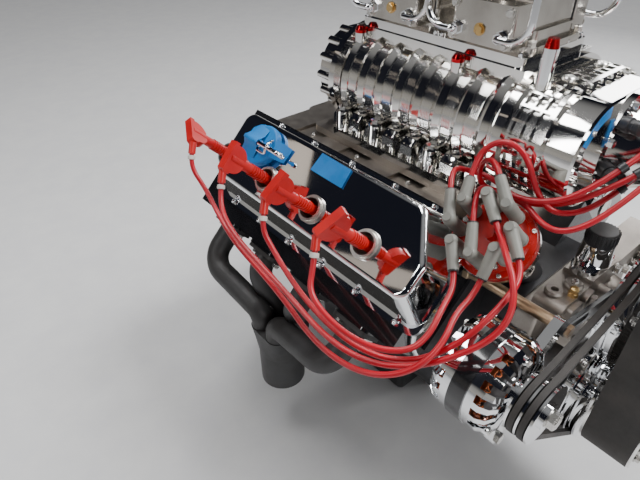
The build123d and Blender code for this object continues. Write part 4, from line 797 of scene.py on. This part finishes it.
# The same tape on the drum's face
drum_plane = drum_front + 0.0004
drum_tape_radii = (0.0575, 0.065, 0.0725)
drum_tape_turns = [radians(w) for w in range(98, 153, 3)]
sheet("drum_tape",
      [[Vector((-rotor_half + r * cos(w), -drum_plane, blower_height + r * sin(w)))
        for r in drum_tape_radii] for w in drum_tape_turns])

# Black fittings on the snout's flange
copies("snout_fittings",
       [spot((-0.047, -flange_front, 0.482), (-0.25, -1, 0.1), (0, 0, 1)),
        spot((-0.062, -flange_front, 0.426), (-0.5, -1, -0.2), (0, 0, 1))],
       turning([(0.0085, 0), (0.0085, 0.006), (0.0105, 0.007), (0.0105, 0.016), (0.0085, 0.017),
                (0.0085, 0.021), (0.0098, 0.022), (0.0098, 0.030), (0.005, 0.032), (0, 0.032)], 18),
       black_plastic)

# Combs: a ring round each of the left bank's leads forward of comb_rear, joined by bars
comb_ring = [(0.0041, -0.005), (0.0066, -0.005), (0.0066, 0.005), (0.0041, 0.005)]
comb_rear, comb_step, ring_gap = 0.64, 0.004, 0.0105


def lead_comb(name, comb_x):
    """A comb that parts the left bank's leads near comb_x, a step further for each lead."""
    held = []
    for number in range(1, cylinders + 1):
        line = lead_lines[f"left_{number}"]
        k = min((k for k in range(len(line) - 1) if line[k].y < -comb_rear),
                key=lambda k: abs(line[k].x - comb_x - comb_step * number))
        held.append((line[k], (line[k + 1] - line[k]).normalized()))
    bm = bmesh.new()
    for here, way in held:
        lathe(bm, comb_ring, spot(here, way), 16)
    for (here, way), (there, _) in zip(held, held[1:]):
        across = there - here
        length = max(across.length - ring_gap, 0.002)
        slab(bm, (length, 0.005, 0.009), spot((here + there) / 2, way, across), 0.0006)
    piece(name, bm, black_plastic)


lead_comb("lead_comb_1", -0.028)
lead_comb("lead_comb_2", -0.088)

# Collars where leads enter the cap's boots
copies("cap_boot_collars",
       [spot(points[-1], Vector(points[-2]) - Vector(points[-1])) for points in leads.values()],
       turning([(0.0041, 0.0012), (0.0070, 0.0012), (0.0074, 0.0006), (0.0074, -0.0012),
                (0.0070, -0.0012)], 20), black_plastic)

# Distributor: screws through the cap, clips on its rim and screws round its bowl
dist_f, dist_a, cap_seat = 0.586, -0.1046, 0.335
bowl_radius, bowl_d = 0.0362, 0.300


def on_cap(turn, radius, d):
    """A place over the distributor's cap, turned in degrees from rearward to the exhaust side."""
    w = radians(turn)
    return spot(on_bank(dist_f - radius * cos(w), d, dist_a + radius * sin(w)), bank_up())


def on_bowl(turn):
    """A place on the side of the distributor's bowl, turned from forward to the exhaust side."""
    w = radians(turn)
    return spot(on_bank(dist_f + bowl_radius * cos(w), bowl_d, dist_a + bowl_radius * sin(w)),
                bank_out() * sin(w) + Vector((0, -cos(w), 0)), bank_up())


copies("cap_screws", [on_cap(turn, 0.0445, cap_seat + 0.0275) for turn in (-4.5, 130.5)],
       turning([(0, 0.006), (0.0036, 0.006), (0.0046, 0.0045), (0.0046, 0)], 16), zinc)
copies("cap_clips", [on_cap(turn, 0.0545, cap_seat + 0.0125) for turn in (40, 130, 220, 310)],
       socket(radius=0.0034, height=0.003), zinc)
copies("bowl_screws", [on_bowl(turn) for turn in (20, 110, 200, 290)],
       hexagon(across=0.008, height=0.004), zinc)

# Carburettors: boosters, bowl screws, sight plugs, fuel nuts, gaskets and the link between them
carb_f = (0.2895, 0.4545)
barrels = [(f + sy * 0.023, sx * 0.023) for f in carb_f for sx in both for sy in both]
bowl_side, bowl_foot = 0.098, deck_top + 0.007
feed_z, sight_z, bowl_screw_z = 0.562, 0.566, (0.552, 0.594)
link_x, link_z = 0.046, deck_top + 0.018
copies("boosters", [above(f, x, deck_top + 0.0585) for f, x in barrels],
       turning([(0.0062, 0), (0.0095, 0.001), (0.0105, 0.006), (0.0098, 0.011), (0.0078, 0.011),
                (0.0058, 0.003), (0.0062, 0)], 20), brass)
copies("booster_arms", [above(f, x * 1.65, deck_top + 0.062) for f, x in barrels],
       plate(size=(0.011, 0.005, 0.005), bevel=0.0012), zinc)
copies("choke_posts", [above(f, 0, deck_top + 0.094) for f in carb_f],
       turning([(0.0030, 0), (0.0030, 0.002), (0.0060, 0.002), (0.0060, 0.0075), (0, 0.0075)], 6),
       zinc)
copies("float_bowl_screws",
       [beside(f + y, sx * bowl_side, z, sx)
        for f in carb_f for sx in both for y in (-0.043, 0.043) for z in bowl_screw_z],
       hexagon(across=0.0085, height=0.005, washer=0.006), zinc)
copies("sight_plugs", [beside(f, sx * bowl_side, sight_z, sx) for f in carb_f for sx in both],
       hexagon(across=0.012, height=0.004, washer=0.0085), brass)
copies("fuel_nuts",
       [beside(f + way * 0.036, sx * bowl_side, feed_z, sx)
        for f in carb_f for way in both for sx in both],
       turning([(0.0050, 0.0108), (0.0078, 0.0108), (0.0084, 0.0095), (0.0084, 0.001),
                (0.0100, 0.001), (0.0100, 0)], 6), chrome)
copies("bowl_gaskets",
       [above(f, sx * 0.0535, bowl_foot - 0.0005) for f in carb_f for sx in both],
       plate(size=(0.102, 0.0022, 0.0585), bevel=0.0006), black_plastic)
copies("metering_blocks", [above(f, sx * 0.058, bowl_foot) for f in carb_f for sx in both],
       plate(size=(0.1015, 0.0045, 0.0582), bevel=0.001), cast)
copies("flange_nuts",
       [above(f + y, sx * 0.0605, deck_top + 0.010)
        for f in carb_f for sx in both for y in (-0.060, 0.060)],
       hexagon(across=0.0105, height=0.007, washer=0.0075), zinc)
smooth_curve("throttle_link", [(link_x, -f, link_z) for f in (0.350, 0.372, 0.394)], 0.0028, zinc)
copies("throttle_levers", [beside(f, link_x, link_z - 0.003, 1) for f in (0.3495, 0.3945)],
       plate(size=(0.026, 0.010, 0.0022), bevel=0.0008), zinc)
copies("horn_beads", [above(f, 0, deck_top + 0.0855) for f in carb_f],
       turning([(0.0648, 0), (0.0662, 0.0008), (0.0662, 0.0022), (0.0648, 0.003)], 48), zinc)

# Fuel lines: nuts at the logs' ends and at each riser
fuel_x, log_z, riser_nut_z = 0.112, 0.655, 0.628
log_rear, log_front = 0.191, 0.553
riser_f = (0.207, 0.372, 0.537)
copies("log_ends",
       [ahead(f, sx * fuel_x, log_z, way)
        for sx in both for f, way in ((log_rear, 1), (log_front, -1))],
       turning([(0, 0.004), (0.0085, 0.004), (0.0105, 0.0025), (0.0105, 0)], 6), chrome)
copies("riser_nuts", [above(f, sx * fuel_x, riser_nut_z) for sx in both for f in riser_f],
       turning([(0.005, 0), (0.0085, 0), (0.0095, 0.001), (0.0095, 0.013), (0.0085, 0.0145),
                (0.0085, 0.019), (0.005, 0.019)], 6), chrome)

# Manifold: nuts on the web between its runners, whose low and high edges are (x, z), and a rear plug
web_low, web_high = (0.1686, 0.3145), (0.087, 0.321)
for side, left in banks:
    low, high = (Vector((x if left else -x, 0, z)) for x, z in (web_low, web_high))
    up = Vector((0, 1, 0)).cross(high - low)
    up = -up if up.z < 0 else up
    middles = [(fore + aft) / 2 for fore, aft in zip(bores(left), bores(left)[1:])]
    places = [low.lerp(high, 0.20) + Vector((0, -f, 0)) for f in middles]
    copies(f"runner_nuts_{side}", [spot(p, up, (0, 1, 0)) for p in places],
           acorn(across=0.011, height=0.012), zinc)
copies("manifold_plug", [ahead(0.060, -0.060, 0.302, 1)],
       hexagon(across=0.019, height=0.008, washer=0.012), bronze)

# Heads and block: plugs in the heads' ends, header bolts and core plugs
head_rear, head_front = 0.010, 0.555
end_plug_d, end_plug_a = 0.312, 0.045
header_d, header_a = 0.330, 0.123
core_d, core_a = 0.202, 0.089
for side, left in banks:
    ends = ((head_front, end_plug_a, -1), (head_rear, end_plug_a, 1), (head_rear, -end_plug_a, 1))
    outward = bank_out(left)
    copies(f"head_plugs_{side}",
           [spot(on_bank(f + forward(left), end_plug_d, a, left), (0, way, 0), (0, 0, 1))
            for f, a, way in ends],
           turning([(0, 0.001), (0.0175, 0.001), (0.0190, 0.0025), (0.0205, 0.0025),
                    (0.0205, 0)], 30), zinc)
    copies(f"header_bolts_{side}",
           [spot(on_bank(f + step, header_d, header_a, left), outward, (0, 1, 0))
            for f in bores(left) for step in (-0.032, 0.032)],
           hexagon(across=0.0115, height=0.007, washer=0.0075), zinc)
    copies(f"core_plugs_{side}",
           [spot(on_bank(f, core_d, core_a, left), outward, (0, 1, 0)) for f in bores(left)[:-1]],
           turning([(0, 0.001), (0.0165, 0.001), (0.0190, 0.0025), (0.0206, 0.0025),
                    (0.0206, 0)], 30), brass)

# Timing cover, oil pan and filter
timing_front = 0.655
timing_bolts = [(-0.131, -0.062), (-0.131, -0.012), (-0.128, 0.036), (0.131, -0.062), (0.131, -0.012),
                (0.128, 0.036), (-0.113, 0.128), (0.113, 0.128), (0.122, 0.082)]
pan_rail_x, pan_rail_z = 0.139, -0.086
pan_bolts = [0.030, 0.112, 0.194, 0.276, 0.358, 0.440, 0.522, 0.625]
copies("timing_bolts", [ahead(timing_front, x, z) for x, z in timing_bolts],
       hexagon(across=0.0115, height=0.006, washer=0.0085), zinc)
copies("pan_bolts",
       [spot((sx * pan_rail_x, -f, pan_rail_z), (0, 0, -1), (0, 1, 0))
        for sx in both for f in pan_bolts],
       hexagon(across=0.010, height=0.005, washer=0.0075), zinc)
copies("pan_drain", [spot((-0.1125, -0.280, -0.205), (-1, 0, -0.1), (0, 1, 0))],
       hexagon(across=0.019, height=0.008, washer=0.012), zinc)
copies("filter_nut", [beside(0.524, 0.269, -0.038, 1)], hexagon(across=0.025, height=0.008),
       black_paint)

# A bright tube that runs down past the head's front corner
smooth_curve("dip_tube", [(-0.196, -0.5605, 0.286), (-0.238, -0.5605, 0.263),
                          (-0.268, -0.5605, 0.236), (-0.292, -0.5605, 0.205),
                          (-0.292, -0.5605, 0.150), (-0.240, -0.566, 0.080),
                          (-0.150, -0.575, 0.020)], 0.0045, chrome)

# Camera: the photograph's place, its aim and its lens
camera_data = bpy.data.cameras.new("camera")
camera = add_object("camera", camera_data)
bpy.context.scene.camera = camera
camera.location = (-0.7402, -0.8834, 0.7603)
heading, dip, roll = radians(39.8), radians(36.6), radians(-0.35)
camera.rotation_mode = "QUATERNION"
camera.rotation_quaternion = (Matrix.Rotation(-heading, 3, "Z") @ Matrix.Rotation(pi / 2 - dip, 3, "X")
                              @ Matrix.Rotation(roll, 3, "Z")).to_quaternion()
camera_data.lens = 29.37
camera_data.sensor_width = 36

# Floor
floor_bm = bmesh.new()
floor_z = cad_box[0].z
bmesh.ops.create_grid(floor_bm, x_segments=1, y_segments=1, size=8)
bmesh.ops.translate(floor_bm, vec=(0, 0, floor_z), verts=floor_bm.verts)
floor_mesh = bpy.data.meshes.new("floor")
floor_bm.to_mesh(floor_mesh)
floor_bm.free()
floor_mesh.materials.append(coated("floor", (0.70, 0.70, 0.70), (0.66, 0.66, 0.67), 0.6, 0.8, 20, 0.02))
floor = add_object("floor", floor_mesh)

# World: dark between a pale horizon and a pale ceiling, for the chrome to reflect
sky_stops = [(0.0, (0.36, 0.345, 0.32)), (0.12, (0.27, 0.26, 0.24)), (0.23, (0.014, 0.015, 0.021)),
             (0.72, (0.008, 0.009, 0.014)), (0.86, (0.20, 0.20, 0.20)), (1.0, (0.30, 0.30, 0.30))]
world = bpy.data.worlds.new("studio")
bpy.context.scene.world = world
world.use_nodes = True
world_tree = world.node_tree
background = world_tree.nodes["Background"]
direction = world_tree.nodes.new("ShaderNodeTexCoord").outputs["Generated"]
split = world_tree.nodes.new("ShaderNodeSeparateXYZ")
world_tree.links.new(direction, split.inputs["Vector"])
world_tree.links.new(ramp(world_tree, split.outputs["Z"], sky_stops), background.inputs["Color"])
background.inputs["Strength"].default_value = 1.0

# Lights


def softbox(name, place, aim, width, height, power, tint=(1, 1, 1), turn=0.0):
    """A soft rectangular light that faces a point, turned in degrees about its own axis."""
    data = bpy.data.lights.new(name, "AREA")
    data.shape = "RECTANGLE"
    data.size = width
    data.size_y = height
    data.energy = power
    data.color = tint
    lamp = add_object(name, data)
    lamp.location = place
    lamp.rotation_mode = "QUATERNION"
    facing = (Vector(aim) - Vector(place)).to_track_quat("-Z", "Y")
    lamp.rotation_quaternion = facing @ Quaternion((0, 0, 1), radians(turn))


middle = (0, -0.4, 0.3)
softbox("key", (1.2, -1.6, 2.6), middle, 1.6, 0.9, 62)
softbox("top", (-0.2, 0.6, 2.8), middle, 2.6, 0.5, 60)
softbox("side", (-2.6, 0.4, 1.8), middle, 0.16, 1.8, 16)
softbox("front", (-0.6, -3.0, 1.5), middle, 1.8, 0.4, 26)
softbox("right", (2.8, 0.2, 1.4), middle, 0.6, 1.6, 26)

sun_data = bpy.data.lights.new("sun", "SUN")
sun_data.energy = 1.3
sun_data.angle = radians(14)
sun = add_object("sun", sun_data)
sun.rotation_mode = "QUATERNION"
sun.rotation_quaternion = Vector((-0.5, 0.42, -1.0)).to_track_quat("-Z", "Y")

# Two small warm cards that show in the right valve cover's mirror
warm = (1.0, 0.86, 0.72)
card_aim = (-0.32, -0.33, 0.30)
softbox("card_rear", (-1.217, 1.148, 1.402), card_aim, 0.23, 0.15, 0.07, warm, -32)
softbox("card_front", (-1.606, 0.554, 1.412), card_aim, 0.48, 0.10, 0.07, warm, 41)
